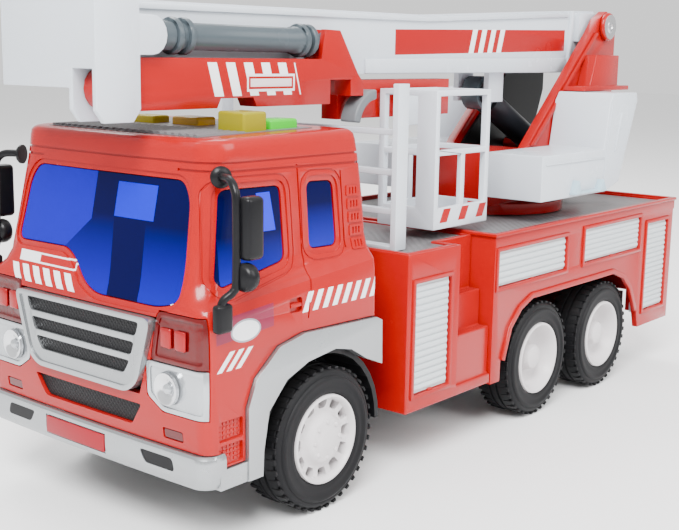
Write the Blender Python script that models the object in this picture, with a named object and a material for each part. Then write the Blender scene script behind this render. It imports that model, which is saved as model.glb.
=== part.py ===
"""A toy platform fire engine: cab, two body sections, six wheels, and a slewing two-part boom.

Lengths here are millimetres, with y = 0 at the bumper, and become metres as each mesh is made.
"""

import math

import bmesh
import bpy
from mathutils import Matrix, Vector

MM = 0.001
MID_Y = 142.0
GAP = 0.3

HALF_W = 50.0
WALL = 2.4
WHEEL_R = 22.5
RIM_R = 13.9
AXLE_R = 2.0
AXLE_Z = 22.5
AXLE_Y = {"front": 51.9, "rear_1": 178.4, "rear_2": 230.9}
TYRE_IN, TYRE_OUT = 33.5, 49.3
CHASSIS_W = 30.0
CHASSIS_LOW, CHASSIS_TOP = 17.0, 29.5
DECK_TOP = 74.3
SLEW = (0.0, 216.0)
BOOM_PIVOT = (275.6, 150.6)
STICK_PIVOT = (-1.0, 127.0)
BASKET_PIVOT = (138.0, 121.5)
LIFT_BASE = (252.0, 98.0)
LIFT_TOP = (204.0, 122.0)
RAM_FRONT = (10.0, 141.5)
RAM_REAR = (87.0, 141.0)
STICK_IN, STICK_OUT = 12.2, 19.4
FLYWHEEL = (184.9, 29.15)

CAB_RINGS = (
    (25.8, 0.0, 1.8, 75.8, 50.0, 4.5),
    (36.0, 0.0, 0.6, 75.8, 50.0, 4.5),
    (46.0, 0.0, 0.2, 75.8, 50.0, 4.5),
    (57.0, 0.0, 0.2, 75.0, 50.0, 4.5),
    (68.0, 3.0, 0.3, 75.0, 49.8, 4.5),
    (75.5, 6.0, 1.2, 75.2, 49.2, 5.0),
    (79.0, 7.0, 2.2, 75.4, 46.0, 6.5),
    (83.0, 7.5, 3.2, 75.2, 44.9, 8.0),
    (104.0, 0.0, 9.4, 73.0, 44.0, 8.5),
    (108.6, 0.6, 9.8, 72.4, 43.6, 8.5),
    (113.4, 1.0, 10.2, 71.0, 42.6, 8.5),
    (114.8, 1.2, 11.6, 69.4, 41.0, 8.0),
    (115.2, 1.2, 13.4, 67.6, 39.0, 7.0),
)
WINDSCREEN = (
    (-32.5, 103.0), (32.5, 103.0), (35.8, 98.0), (37.8, 80.0), (37.6, 70.4), (30.0, 68.6),
    (5.0, 68.6), (-2.0, 71.5), (-8.0, 79.0), (-12.0, 83.0), (-37.6, 83.0), (-35.8, 98.0),
)
DOOR_WINDOW = ((13.4, 101.0), (36.3, 100.6), (37.6, 78.9), (12.0, 74.4), (9.9, 76.6))
BACK_WINDOW = ((47.3, 100.8), (59.0, 100.4), (60.6, 80.6), (48.2, 80.8))
FENDER_OUT = (
    (16.3, 20.0), (16.2, 41.0), (19.4, 48.8), (28.7, 56.2), (39.2, 58.3), (72.5, 57.4),
    (75.4, 56.0),
)
FENDER_IN = (
    (75.8, 41.8), (67.6, 45.2), (60.5, 49.4), (53.0, 51.0), (40.9, 49.5), (31.7, 46.0),
    (24.4, 38.4), (22.3, 27.4), (22.0, 20.0),
)
GRILLE = ((-31.0, 66.0), (31.0, 66.0), (23.8, 43.6), (-23.8, 43.6))
LAMP_EDGE = ((31.8, 68.2), (28.6, 54.0), (27.2, 41.0))
LAMP_DEEP = 3.4
ROOF_PANEL = ((14.6, 113.4), (62.0, 114.2), (62.0, 115.6), (14.6, 114.8))
BUTTONS = {
    "button_yellow": (-25.0, -14.0, 40.0, 47.0, 117.2),
    "button_orange": (-8.0, 4.0, 42.0, 50.0, 117.4),
    "button_siren": (20.0, 31.0, 34.6, 44.4, 120.4),
    "button_green": (21.0, 29.5, 47.5, 59.5, 117.8),
}
REAR_SHUTTERS = ((144.5, 194.0, 55.5, 68.5), (209.0, 259.0, 56.0, 69.5), (266.6, 287.0, 27.0, 65.8))
REAR_ARCH = (
    (148.0, 10.0), (148.5, 28.0), (153.0, 40.0), (160.0, 46.5), (169.0, 50.0), (236.0, 50.0),
    (246.0, 46.5), (253.5, 40.0), (260.0, 29.0), (266.0, 10.0),
)

RED = ("gloss_red", (0.76, 0.012, 0.017, 1.0), 0.28, 0.0)
WHITE = ("gloss_white", (0.72, 0.75, 0.78, 1.0), 0.32, 0.0)
SILVER = ("silver_paint", (0.6, 0.61, 0.63, 1.0), 0.35, 0.4)
BLACK = ("black_plastic", (0.02, 0.02, 0.022, 1.0), 0.5, 0.0)
GREY = ("ram_grey", (0.13, 0.155, 0.17, 1.0), 0.35, 0.0)
DECK = ("tread_grey", (0.22, 0.21, 0.22, 1.0), 0.5, 0.0)
STEEL = ("steel", (0.55, 0.55, 0.56, 1.0), 0.3, 1.0)
GLASS = ("blue_glazing", (0.02, 0.03, 0.6, 1.0), 0.08, 0.0)


def place(point):
    """Turns a drawing point in millimetres into scene metres."""
    return Vector((point[0] * MM, (point[1] - MID_Y) * MM, point[2] * MM))


def mesh(name, points, faces):
    """Makes a closed mesh object with its faces turned outwards."""
    data = bpy.data.meshes.new(name)
    data.from_pydata([place(p) for p in points], [], faces)
    obj = bpy.data.objects.new(name, data)
    bpy.context.scene.collection.objects.link(obj)
    work = bmesh.new()
    work.from_mesh(data)
    bmesh.ops.recalc_face_normals(work, faces=work.faces)
    work.to_mesh(data)
    work.free()
    return obj


def grow(outline, distance):
    """Offsets a closed outline outwards by the distance, or inwards if it is negative."""
    area = sum(a[0] * b[1] - b[0] * a[1] for a, b in zip(outline, outline[1:] + outline[:1]))
    side = 1.0 if area > 0 else -1.0
    found = []
    for index, point in enumerate(outline):
        before = Vector(outline[index - 1])
        here = Vector(point)
        after = Vector(outline[(index + 1) % len(outline)])
        first = (here - before).normalized()
        second = (after - here).normalized()
        out_a = Vector((first.y, -first.x)) * side
        out_b = Vector((second.y, -second.x)) * side
        middle = (out_a + out_b).normalized()
        reach = distance / max(0.35, middle.dot(out_a))
        found.append(tuple(here + middle * reach))
    return found


def loft(name, rings):
    """Joins rings of equally many points into one capped solid."""
    count = len(rings[0])
    points = [p for ring in rings for p in ring]
    faces = [tuple(range(count)), tuple(range(len(points) - count, len(points)))]
    for level in range(len(rings) - 1):
        for i in range(count):
            j = (i + 1) % count
            low = level * count
            faces.append((low + i, low + j, low + count + j, low + count + i))
    return mesh(name, points, faces)


def prism(name, outline, axis, low, high):
    """Extrudes an outline along x, y or z; the outline holds the other two coordinates."""
    order = {"x": lambda u, v, w: (w, u, v), "y": lambda u, v, w: (u, w, v), "z": lambda u, v, w: (u, v, w)}
    put = order[axis]
    return loft(name, [[put(u, v, w) for u, v in outline] for w in (low, high)])


def box(name, xs, ys, zs):
    """Makes a box from its three spans."""
    outline = [(xs[0], ys[0]), (xs[1], ys[0]), (xs[1], ys[1]), (xs[0], ys[1])]
    return prism(name, outline, "z", zs[0], zs[1])


def lathe(name, profile, start, direction, steps=24, ring=False):
    """Turns (along, radius) points about the line from start; ring joins the profile's ends."""
    axis = Vector(direction).normalized()
    side = axis.cross(Vector((0, 0, 1)))
    side = side.normalized() if side.length > 0.1 else Vector((1, 0, 0))
    other = axis.cross(side)
    points = []
    rows = []
    for along, radius in profile:
        centre = Vector(start) + axis * along
        if radius < 1e-6:
            rows.append([len(points)] * steps)
            points.append(tuple(centre))
            continue
        rows.append(list(range(len(points), len(points) + steps)))
        for i in range(steps):
            turn = 2 * math.pi * i / steps
            points.append(tuple(centre + (side * math.cos(turn) + other * math.sin(turn)) * radius))
    pairs = list(zip(rows, rows[1:]))
    if ring:
        pairs.append((rows[-1], rows[0]))
    faces = []
    for first, second in pairs:
        for i in range(steps):
            j = (i + 1) % steps
            corners = (first[i], first[j], second[j], second[i])
            faces.append(tuple(dict.fromkeys(corners)))
    faces = [f for f in faces if len(f) > 2]
    if not ring and profile[0][1] > 1e-6:
        faces.append(tuple(rows[0]))
        faces.append(tuple(rows[-1]))
    return mesh(name, points, faces)


def rod(name, start, end, radius, steps=16):
    """Makes a plain round bar between two points."""
    length = (Vector(end) - Vector(start)).length
    profile = ((0.0, radius), (length, radius))
    return lathe(name, profile, start, Vector(end) - Vector(start), steps)


def sweep(name, path, radius, steps=8):
    """Carries a round section along a path."""
    rings = []
    for i, point in enumerate(path):
        ahead = Vector(path[min(i + 1, len(path) - 1)])
        behind = Vector(path[max(i - 1, 0)])
        axis = (ahead - behind).normalized()
        side = axis.cross(Vector((0, 1, 0.01))).normalized()
        other = axis.cross(side)
        turns = [2 * math.pi * k / steps for k in range(steps)]
        rings.append([
            tuple(Vector(point) + (side * math.cos(t) + other * math.sin(t)) * radius) for t in turns
        ])
    return loft(name, rings)


def combine(target, others, operation):
    """Applies exact booleans and removes the helpers."""
    for other in others:
        step = target.modifiers.new("step", "BOOLEAN")
        step.operation = operation
        step.solver = "EXACT"
        step.object = other
        bpy.context.view_layer.update()
        graph = bpy.context.evaluated_depsgraph_get()
        result = bpy.data.meshes.new_from_object(target.evaluated_get(graph))
        target.modifiers.remove(step)
        target.data = result
        bpy.data.objects.remove(other)
    return target


def join(target, *others):
    """Unites the others with the target."""
    return combine(target, others, "UNION")


def cut(target, *cutters):
    """Takes the cutters away from the target."""
    return combine(target, cutters, "DIFFERENCE")


def clip(target, *others):
    """Keeps what the target shares with the others."""
    return combine(target, others, "INTERSECT")


def mirrored(source, name):
    """Copies an object to the other side of the engine."""
    data = source.data.copy()
    data.transform(Matrix.Scale(-1, 4, (1, 0, 0)))
    data.flip_normals()
    obj = bpy.data.objects.new(name, data)
    bpy.context.scene.collection.objects.link(obj)
    return obj


def both(make):
    """Makes a helper on the left and its mirror image on the right."""
    left = make()
    return left, mirrored(left, left.name + "_r")


def finish(obj, name, material, origin=None):
    """Names the node, gives it a material of its own, and puts its origin on the joint axis."""
    title, colour, rough, metal = material
    shade = bpy.data.materials.new(name + "_" + title)
    shade.use_nodes = True
    shader = shade.node_tree.nodes["Principled BSDF"]
    shader.inputs["Base Color"].default_value = colour
    shader.inputs["Roughness"].default_value = rough
    shader.inputs["Metallic"].default_value = metal
    shade.diffuse_color = colour
    obj.data.materials.clear()
    obj.data.materials.append(shade)
    obj.name = name
    obj.data.name = name
    if origin is not None:
        spot = place(origin)
        obj.data.transform(Matrix.Translation(-spot))
        obj.location = spot
    return obj


def arc(centre, radius, first, last, steps):
    """Points of an arc in a plane, from the first angle to the last in degrees."""
    turns = [math.radians(first + (last - first) * i / steps) for i in range(steps + 1)]
    return [(centre[0] + radius * math.cos(t), centre[1] + radius * math.sin(t)) for t in turns]


def cab_ring(level, inset):
    """One level of the cab: a bowed front with round corners, lower at the front by its tilt."""
    height, tilt, front, rear, half, big = level
    front += inset
    rear -= inset
    half -= inset
    big, small = big - inset * 0.6, 3.0
    height = height - inset if height > 105.0 else height
    side = arc((half - big, front + 0.8 + big), big, -90.0, 0.0, 4)
    back = arc((half - small, rear - small), small, 0.0, 90.0, 2)
    left = [(0.0, front)] + [(half * 0.5, front + 0.25)] + side + back
    right = [(-x, y) for x, y in reversed(left[1:])]
    return [(x, y, height - tilt * (75.0 - y) / 75.0) for x, y in left + right]


def cab_solid(name, inset=0.0, low=25.8):
    """The cab's outer shape, or the same shape a little smaller."""
    rings = [cab_ring(level, inset) for level in CAB_RINGS]
    if low < 25.8:
        rings.insert(0, [(x, y, low) for x, y, _ in rings[0]])
    return loft(name, rings)


def lamp_region(low, high, slack):
    """The space of a lamp on the left corner, between two heights."""
    edge = [LAMP_EDGE[1]] + ([LAMP_EDGE[0]] if high > 60 else [LAMP_EDGE[2]])
    inner = sorted(edge, key=lambda p: p[1])
    outline = [(inner[0][0], low), (58.0, low), (58.0, high), (inner[1][0], high)]
    return prism("lamp_space", grow(outline, slack), "y", -4.0, LAMP_DEEP + slack)


def make_cab():
    """The red cab shell with its openings."""
    cab = cab_solid("cab")
    cut(cab, cab_solid("inside", WALL, 15.0))
    cut(cab, prism("w", list(WINDSCREEN), "y", -5.0, 30.0))
    for window in (DOOR_WINDOW, BACK_WINDOW):
        cut(cab, prism("w", list(window), "x", -60.0, 60.0))
    under = list(FENDER_OUT) + [(77.0, 55.6), (77.0, 15.0), (16.3, 15.0)]
    under = [p for p in under if p != (16.3, 20.0)]
    for side in both(lambda: prism("u", grow(under, GAP), "x", 29.0, 60.0)):
        cut(cab, side)
    cut(cab, prism("g", grow(list(GRILLE), GAP), "y", -5.0, 8.0))
    for low, high in ((41.0, 54.0), (53.9, 68.2)):
        for side in both(lambda: lamp_region(low, high, 0.0)):
            cut(cab, side)
    cut(cab, box("b", (-60, 60), (-5, 16.0), (10, 26.1)))
    cut(cab, box("b", (-60, 60), (-5, 8.6), (10, 30.4)))
    cut(cab, box("c", (-CHASSIS_W - 0.6, CHASSIS_W + 0.6), (10, 90), (10, 30.2)))
    cut(cab, prism("r", grow(list(ROOF_PANEL), GAP), "x", -33.3, 33.3))
    for x0, x1, y0, y1, _ in BUTTONS.values():
        cut(cab, box("k", (x0 - GAP, x1 + GAP), (y0 - GAP, y1 + GAP), (108, 120)))
    return finish(cab, "cab_shell", RED)


def make_glazing():
    """The windscreen and one glazing piece for each side of the cab."""
    screen = prism("s", grow(list(WINDSCREEN), -0.35), "y", -5.0, 24.0)
    clip(screen, cab_solid("skin", 0.9))
    cut(screen, cab_solid("behind", 2.2, 15.0))
    finish(screen, "windscreen", GLASS)
    side = box("plate", (39.6, 41.0), (18.5, 58.0), (83.0, 98.5))
    for window in (DOOR_WINDOW, BACK_WINDOW):
        pane = prism("p", grow(list(window), -0.35), "x", 40.2, 60.0)
        clip(pane, cab_solid("skin", 0.7))
        join(side, pane)
    other = mirrored(side, "other")
    finish(side, "glazing_left", GLASS)
    finish(other, "glazing_right", GLASS)


def make_front():
    """Grille, bumper with the fenders, and the lamps."""
    plate = prism("g", list(GRILLE), "y", -0.9, 3.0)
    finish(plate, "grille", SILVER)
    rings = [
        [(x, y, z) for x, y, _ in cab_ring((40.0, 0.0, lean - 0.6, 75.0, 50.6 - lean, 5.0), 0.0)]
        for z, lean in ((20.0, 1.6), (22.5, 0.2), (28.4, 0.0), (30.1, 0.5))
    ]
    bumper = loft("bumper", rings)
    clip(bumper, box("f", (-60, 60), (-5, 8.2), (10, 40)))
    inner = [(x, y) for x, y, _ in cab_ring((40.0, 0.0, 2.6, 75.0, 47.4, 4.0), 0.0)]
    cut(bumper, prism("i", inner, "z", 10.0, 40.0))
    for side in both(lambda: box("s", (47.4, 50.6), (6.0, 21.6), (20.0, 25.7))):
        join(bumper, side)
    arch = list(FENDER_OUT) + list(FENDER_IN)
    for side in both(lambda: prism("a", arch, "x", 47.4, 51.2)):
        join(bumper, side)
    finish(bumper, "bumper_fenders", SILVER)
    for title, low, high, colour in (
        ("headlight", 41.0, 53.8, ("clear_lamp", (0.8, 0.82, 0.85, 1.0), 0.1, 0.0)),
        ("red_lamp", 54.1, 68.2, ("red_lamp", (0.5, 0.01, 0.012, 1.0), 0.1, 0.0)),
    ):
        lamp = lamp_region(low, high, -GAP)
        clip(lamp, cab_solid("skin", 0.05))
        other = mirrored(lamp, "o")
        finish(lamp, title + "_left", colour)
        finish(other, title + "_right", colour)


def make_roof():
    """The dark ribbed roof panel and the four sprung buttons."""
    panel = prism("panel", list(ROOF_PANEL), "x", -33.0, 33.0)
    colours = {
        "button_yellow": (0.75, 0.6, 0.03, 1.0),
        "button_orange": (0.8, 0.45, 0.03, 1.0),
        "button_siren": (0.5, 0.45, 0.02, 1.0),
        "button_green": (0.08, 0.78, 0.04, 1.0),
    }
    for name, (x0, x1, y0, y1, top) in BUTTONS.items():
        cut(panel, box("k", (x0 - GAP, x1 + GAP), (y0 - GAP, y1 + GAP), (108, 120)))
        key = box("key", (x0, x1), (y0, y1), (110.5, top))
        middle = ((x0 + x1) / 2, (y0 + y1) / 2, 112.0)
        finish(key, name, ("key", colours[name], 0.35, 0.0), middle)
    finish(panel, "roof_panel", BLACK)


def make_mirrors():
    """A mirror arm on each side of the cab."""
    path = [
        (44.6, 12.2, 104.6), (47.2, 11.0, 104.8), (50.8, 9.6, 104.4), (53.2, 8.8, 102.2),
        (54.0, 8.6, 98.0), (54.0, 8.5, 79.0), (53.6, 7.8, 75.6), (52.4, 5.6, 73.6), (51.8, 4.8, 71.4),
    ]
    arm = sweep("arm", path, 1.15)
    join(arm, rod("root", (44.4, 12.3, 104.6), (45.8, 11.6, 104.7), 2.6, 14))
    join(arm, box("foot", (50.5, 53.6), (2.6, 8.2), (64.6, 72.4)))
    join(arm, box("big", (53.4, 57.8), (9.0, 12.4), (82.6, 99.4)))
    join(arm, rod("round", (55.4, 9.2, 78.6), (55.4, 11.8, 78.6), 3.8, 16))
    other = mirrored(arm, "o")
    finish(arm, "mirror_left", BLACK)
    finish(other, "mirror_right", BLACK)


def make_mid_body():
    """The cabinet behind the cab, its shutters, its deck and the frame the boom rests over."""
    body = box("m", (-50, 50), (90.5, 119.8), (20.8, DECK_TOP))
    join(body, box("c", (-40, 40), (119.0, 141.6), (20.8, DECK_TOP)))
    join(body, box("s", (-44.5, 44.5), (119.0, 141.6), (24.0, 55.0)))
    join(body, box("s", (-48.8, 48.8), (119.0, 141.6), (24.0, 42.0)))
    join(body, box("s", (-50, 50), (119.0, 141.6), (20.8, 24.5)))
    cut(body, box("t", (-48.4, 48.4), (92.1, 118.2), (72.0, 80.0)))
    cut(body, box("t", (-38.4, 38.4), (117.0, 140.0), (72.0, 80.0)))
    cut(body, box("i", (-47.0, 47.0), (93.0, 117.4), (10.0, 69.6)))
    cut(body, box("i", (-37.6, 37.6), (116.0, 139.2), (10.0, 69.6)))
    cut(body, box("c", (-CHASSIS_W - 0.6, CHASSIS_W + 0.6), (80, 150), (10, 29.9)))
    for side in both(lambda: box("h", (45.0, 55.0), (94.2, 114.3), (26.7, 64.3))):
        cut(body, side)
    finish(body, "mid_body", RED)
    plate = box("p", (45.0, 46.7), (94.5, 116.8), (25.0, 66.0))
    join(plate, box("q", (46.0, 49.3), (94.5, 114.0), (27.0, 64.0)))
    other = mirrored(plate, "o")
    finish(plate, "mid_shutter_left", SILVER)
    finish(other, "mid_shutter_right", SILVER)
    deck = box("d", (-48.1, 48.1), (92.4, 117.9), (72.3, 73.6))
    join(deck, box("e", (-38.1, 38.1), (117.0, 139.7), (72.3, 73.6)))
    finish(deck, "mid_deck", DECK)
    frame = box("f", (-41.0, 41.0), (95.2, 99.8), (73.9, 75.1))
    for side in both(lambda: box("p", (39.0, 41.2), (94.4, 100.2), (73.9, 128.0))):
        join(frame, side)
    for height in (86.4, 99.3, 112.4):
        join(frame, box("r", (-40.0, 40.0), (96.2, 98.8), (height - 1.0, height + 1.0)))
    finish(frame, "boom_rest", WHITE)


def make_rear_body():
    """The rear body, its roller shutters and its deck."""
    body = box("r", (-50, 50), (142.0, 293.0), (20.0, DECK_TOP))
    join(body, box("l", (-50, 50), (292.0, 294.0), (70.0, DECK_TOP)))
    cut(body, box("t", (-48.3, 48.3), (144.0, 291.0), (72.0, 80.0)))
    cut(body, box("i", (-47.6, 47.6), (144.4, 290.6), (10.0, 69.6)))
    cut(body, prism("a", list(REAR_ARCH), "x", -60.0, 60.0))
    cut(body, box("c", (-CHASSIS_W - 0.6, CHASSIS_W + 0.6), (130, 300), (10, 29.9)))
    for y0, y1, z0, z1 in REAR_SHUTTERS:
        cut(body, box("s", (-60, 60), (y0, y1), (z0, z1)))
    cut(body, rod("h", (*SLEW, 60.0), (*SLEW, 80.0), 8.5, 32))
    finish(body, "rear_body", RED)
    plate = box("p", (45.2, 47.2), (145.0, 289.0), (53.0, 69.0))
    join(plate, box("q", (45.2, 47.2), (263.6, 289.0), (26.0, 60.0)))
    for y0, y1, z0, z1 in REAR_SHUTTERS:
        face = box("f", (46.2, 49.3), (y0 + GAP, y1 - GAP), (z0 + GAP, z1 - GAP))
        join(plate, face)
    other = mirrored(plate, "o")
    finish(plate, "rear_shutters_left", SILVER)
    finish(other, "rear_shutters_right", SILVER)
    deck = box("d", (-48.0, 48.0), (144.3, 290.7), (72.3, 73.6))
    cut(deck, rod("h", (*SLEW, 60.0), (*SLEW, 80.0), 8.5, 32))
    finish(deck, "rear_deck", DECK)


def make_chassis():
    """The underbody with the front wheel arches, and what it holds."""
    base = box("c", (-CHASSIS_W, CHASSIS_W), (14.0, 289.0), (CHASSIS_LOW, CHASSIS_TOP))
    centre = (AXLE_Y["front"], AXLE_Z)
    outer = arc(centre, 28.0, 0.0, 180.0, 16)
    inner = arc(centre, 26.2, 180.0, 0.0, 16)
    for side in both(lambda: prism("a", outer + inner, "x", 29.6, 46.9)):
        join(base, side)
    for side in both(lambda: prism("w", outer, "x", 29.4, 31.4)):
        join(base, side)
    for y in AXLE_Y.values():
        cut(base, rod("b", (-40, y, AXLE_Z), (40, y, AXLE_Z), AXLE_R + 0.35, 16))
    cut(base, box("m", (-12.4, 12.4), (169.6, 195.4), (10, 40)))
    cut(base, box("k", (-20, 20), (100, 150), (10, 19.0)))
    finish(base, "chassis", BLACK)
    finish(box("k", (-19.7, 19.7), (100.3, 149.7), (17.0, 18.7)), "battery_cover", BLACK)
    board = box("p", (-30, 34), (26, 62), (103.0, 104.6))
    finish(board, "circuit_board", ("board", (0.02, 0.22, 0.06, 1.0), 0.4, 0.0))
    profile = ((0.0, 0.0), (0.0, 12.0), (2.0, 12.0), (6.0, 7.0), (8.0, 7.0), (8.0, 0.0))
    finish(lathe("s", profile, (0, 112, 31.0), (0, 0, 1)), "speaker", BLACK)
    housing = box("h", (-12.0, 12.0), (170.0, 195.0), (16.6, 38.0))
    cut(housing, box("i", (-10.4, 10.4), (171.6, 193.4), (17.2, 50.0)))
    cut(housing, rod("b", (-40, AXLE_Y["rear_1"], AXLE_Z), (40, AXLE_Y["rear_1"], AXLE_Z), 2.4, 16))
    cut(housing, rod("b", (-40, *FLYWHEEL), (40, *FLYWHEEL), 1.6, 12))
    finish(housing, "motor_housing", WHITE)
    wheel = rod("w", (-11.6, *FLYWHEEL), (11.6, *FLYWHEEL), 1.25, 12)
    join(wheel, rod("d", (-8.0, *FLYWHEEL), (-3.5, *FLYWHEEL), 6.8, 24))
    join(wheel, rod("p", (5.0, *FLYWHEEL), (8.0, *FLYWHEEL), 4.0, 20))
    finish(wheel, "flywheel", STEEL, (0.0, *FLYWHEEL))


def make_wheels():
    """Three axles, each with two rims and two tyres."""
    tyre = (
        (TYRE_IN, 14.2), (TYRE_IN, 19.4), (35.0, 21.8), (37.2, WHEEL_R), (45.6, WHEEL_R),
        (47.8, 21.8), (TYRE_OUT, 19.4), (TYRE_OUT, 14.2),
    )
    deep = ((34.0, 2.3), (34.0, RIM_R), (49.0, RIM_R), (48.6, 12.2), (42.5, 10.4), (42.5, 5.6),
            (46.4, 4.6), (47.4, 2.6), (47.6, 0.0), (43.8, 0.0), (43.8, 2.3))
    flat = ((34.0, 2.3), (34.0, RIM_R), (49.0, RIM_R), (48.6, 12.4), (46.6, 11.4), (47.6, 7.6),
            (49.2, 6.2), (49.6, 3.0), (49.8, 0.0), (43.8, 0.0), (43.8, 2.3))
    for title, y in AXLE_Y.items():
        spot = (0.0, y, AXLE_Z)
        axle = rod("a", (-43.3, y, AXLE_Z), (43.3, y, AXLE_Z), AXLE_R, 16)
        if title == "rear_1":
            join(axle, rod("d", (5.0, y, AXLE_Z), (8.0, y, AXLE_Z), 5.0, 20))
        finish(axle, "axle_" + title, STEEL, spot)
        rim = lathe("r", flat if title == "front" else deep, (0, y, AXLE_Z), (1, 0, 0), 20, True)
        rubber = lathe("t", tyre, (0, y, AXLE_Z), (1, 0, 0), 24, True)
        other_rim = mirrored(rim, "o")
        other_rubber = mirrored(rubber, "o")
        finish(rim, f"rim_{title}_left", WHITE, spot)
        finish(other_rim, f"rim_{title}_right", WHITE, spot)
        finish(rubber, f"tyre_{title}_left", BLACK, spot)
        finish(other_rubber, f"tyre_{title}_right", BLACK, spot)


def make_turntable():
    """The slewing base with its two arms, the ring under the deck, covers and pivot bolt."""
    base = rod("t", (*SLEW, 74.0), (*SLEW, 78.4), 31.0, 40)
    join(base, rod("b", (*SLEW, 68.0), (*SLEW, 75.0), 8.0, 24))
    join(base, box("p", (-20, 20), (186, 262), (78.0, 84.0)))
    join(base, box("q", (-20, 20), (184.4, 213.0), (78.6, 99.8)))
    arm = [
        (196.0, 80.0), (204.0, 93.0), (212.0, 101.0), (263.0, 148.0), (268.0, 153.6),
        (275.6, 157.4), (282.6, 154.6), (285.0, 148.0), (285.0, 121.0), (276.0, 100.0), (262.0, 80.0),
    ]
    for side in both(lambda: prism("a", arm, "x", 16.0, 20.0)):
        join(base, side)
    join(base, rod("w", (-17, *LIFT_BASE), (17, *LIFT_BASE), 2.0, 12))
    cut(base, rod("h", (-30, *BOOM_PIVOT), (30, *BOOM_PIVOT), 3.35, 20))
    finish(base, "turntable", RED, (*SLEW, 74.0))
    ring = rod("n", (*SLEW, 64.6), (*SLEW, 67.6), 13.0, 28)
    finish(ring, "slew_retainer", BLACK, (*SLEW, 66.0))
    shape = [
        (179.4, 82.6), (232.0, 82.6), (244.0, 86.0), (257.6, 119.6), (256.2, 122.8), (235.4, 122.8),
        (232.6, 119.4), (229.0, 100.2), (179.4, 100.2),
    ]
    cover = prism("c", shape, "x", 20.4, 46.0)
    for y0, y1, z0, z1 in ((181.8, 230.0, 85.2, 97.8), (235.6, 246.4, 97.0, 120.0)):
        cut(cover, box("i", (19.0, 43.8), (y0, y1), (z0, z1)))
    other = mirrored(cover, "o")
    finish(cover, "cover_left", WHITE)
    finish(other, "cover_right", WHITE)
    bolt = rod("s", (-22, *BOOM_PIVOT), (22, *BOOM_PIVOT), 3.0, 20)
    for side in both(lambda: rod("h", (20.3, *BOOM_PIVOT), (22.4, *BOOM_PIVOT), 5.4, 20)):
        join(bolt, side)
    finish(bolt, "pivot_bolt", STEEL)


def make_boom():
    """The main boom, its square head, and the lifting ram under it."""
    shape = [
        (5.4, 130.4), (256.0, 130.4), (266.0, 140.6), (275.6, 143.6), (282.6, 147.0), (283.0, 154.0),
        (279.0, 157.6), (262.0, 157.2), (150.0, 151.6), (5.4, 151.0),
    ]
    boom = prism("b", shape, "x", -11.5, 11.5)
    join(boom, box("k", (-14.0, 14.0), (262.0, 281.0), (144.0, 156.4)))
    cut(boom, box("i", (-9.3, 9.3), (8.0, 190.0), (120.0, 148.4)))
    cut(boom, box("i", (-9.3, 9.3), (218.0, 256.0), (120.0, 150.0)))
    cut(boom, box("e", (-5.4, 5.4), (193.0, 216.0), (125.0, 134.8)))
    for side in both(lambda: box("l", (6.2, 8.6), (198.5, 209.5), (118.6, 132.0))):
        join(boom, side)
    join(boom, rod("p", (-7.4, *LIFT_TOP), (7.4, *LIFT_TOP), 1.4, 12))
    cut(boom, rod("h", (-30, *BOOM_PIVOT), (30, *BOOM_PIVOT), 3.35, 20))
    finish(boom, "main_boom", WHITE, (0.0, *BOOM_PIVOT))
    head = box("h", (-20.0, 21.5), (-10.0, 5.0), (127.2, 150.6))
    join(head, prism("f", [(-10, 130), (-10, 121.6), (-7.4, 118.2), (2.4, 118.2), (5, 121.6), (5, 130)],
                     "x", 9.9, 21.5))
    join(head, prism("e", arc((9.4, 141.5), 5.4, -90, 90, 8) + [(2, 146.9), (2, 136.1)], "x", 19.8, 21.5))
    cut(head, box("s", (11.5, 19.8), (-7.9, 12.0), (110, 147.4)))
    cut(head, box("s", (11.5, 19.8), (-12.0, 0.0), (110, 132.4)))
    join(head, rod("p", (19.0, *RAM_FRONT), (20.4, *RAM_FRONT), 1.5, 12))
    join(head, rod("p", (12.0, *RAM_FRONT), (20.4, *RAM_FRONT), 1.5, 12))
    join(head, rod("q", (11.0, *STICK_PIVOT), (20.4, *STICK_PIVOT), 2.0, 12))
    finish(head, "boom_head", WHITE)
    span = Vector((0.0, LIFT_TOP[0] - LIFT_BASE[0], LIFT_TOP[1] - LIFT_BASE[1]))
    way = span.normalized()
    start = Vector((0.0, *LIFT_BASE))
    barrel = lathe("c", ((4.0, 3.1), (46.0, 3.1), (46.0, 5.4), (4.0, 5.4)), start, way, 20, True)
    join(barrel, rod("e", (-5.6, *LIFT_BASE), (5.6, *LIFT_BASE), 5.6, 20))
    cut(barrel, rod("h", (-9, *LIFT_BASE), (9, *LIFT_BASE), 2.4, 16))
    finish(barrel, "lift_barrel", GREY, (0.0, *LIFT_BASE))
    length = span.length
    piston = rod("r", start + way * 7.6, start + way * (length - 4.6), 2.75, 16)
    join(piston, rod("e", (-4.0, *LIFT_TOP), (4.0, *LIFT_TOP), 6.9, 24))
    cut(piston, rod("h", (-9, *LIFT_TOP), (9, *LIFT_TOP), 4.9, 20))
    finish(piston, "lift_rod", GREY, (0.0, *LIFT_TOP))


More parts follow.
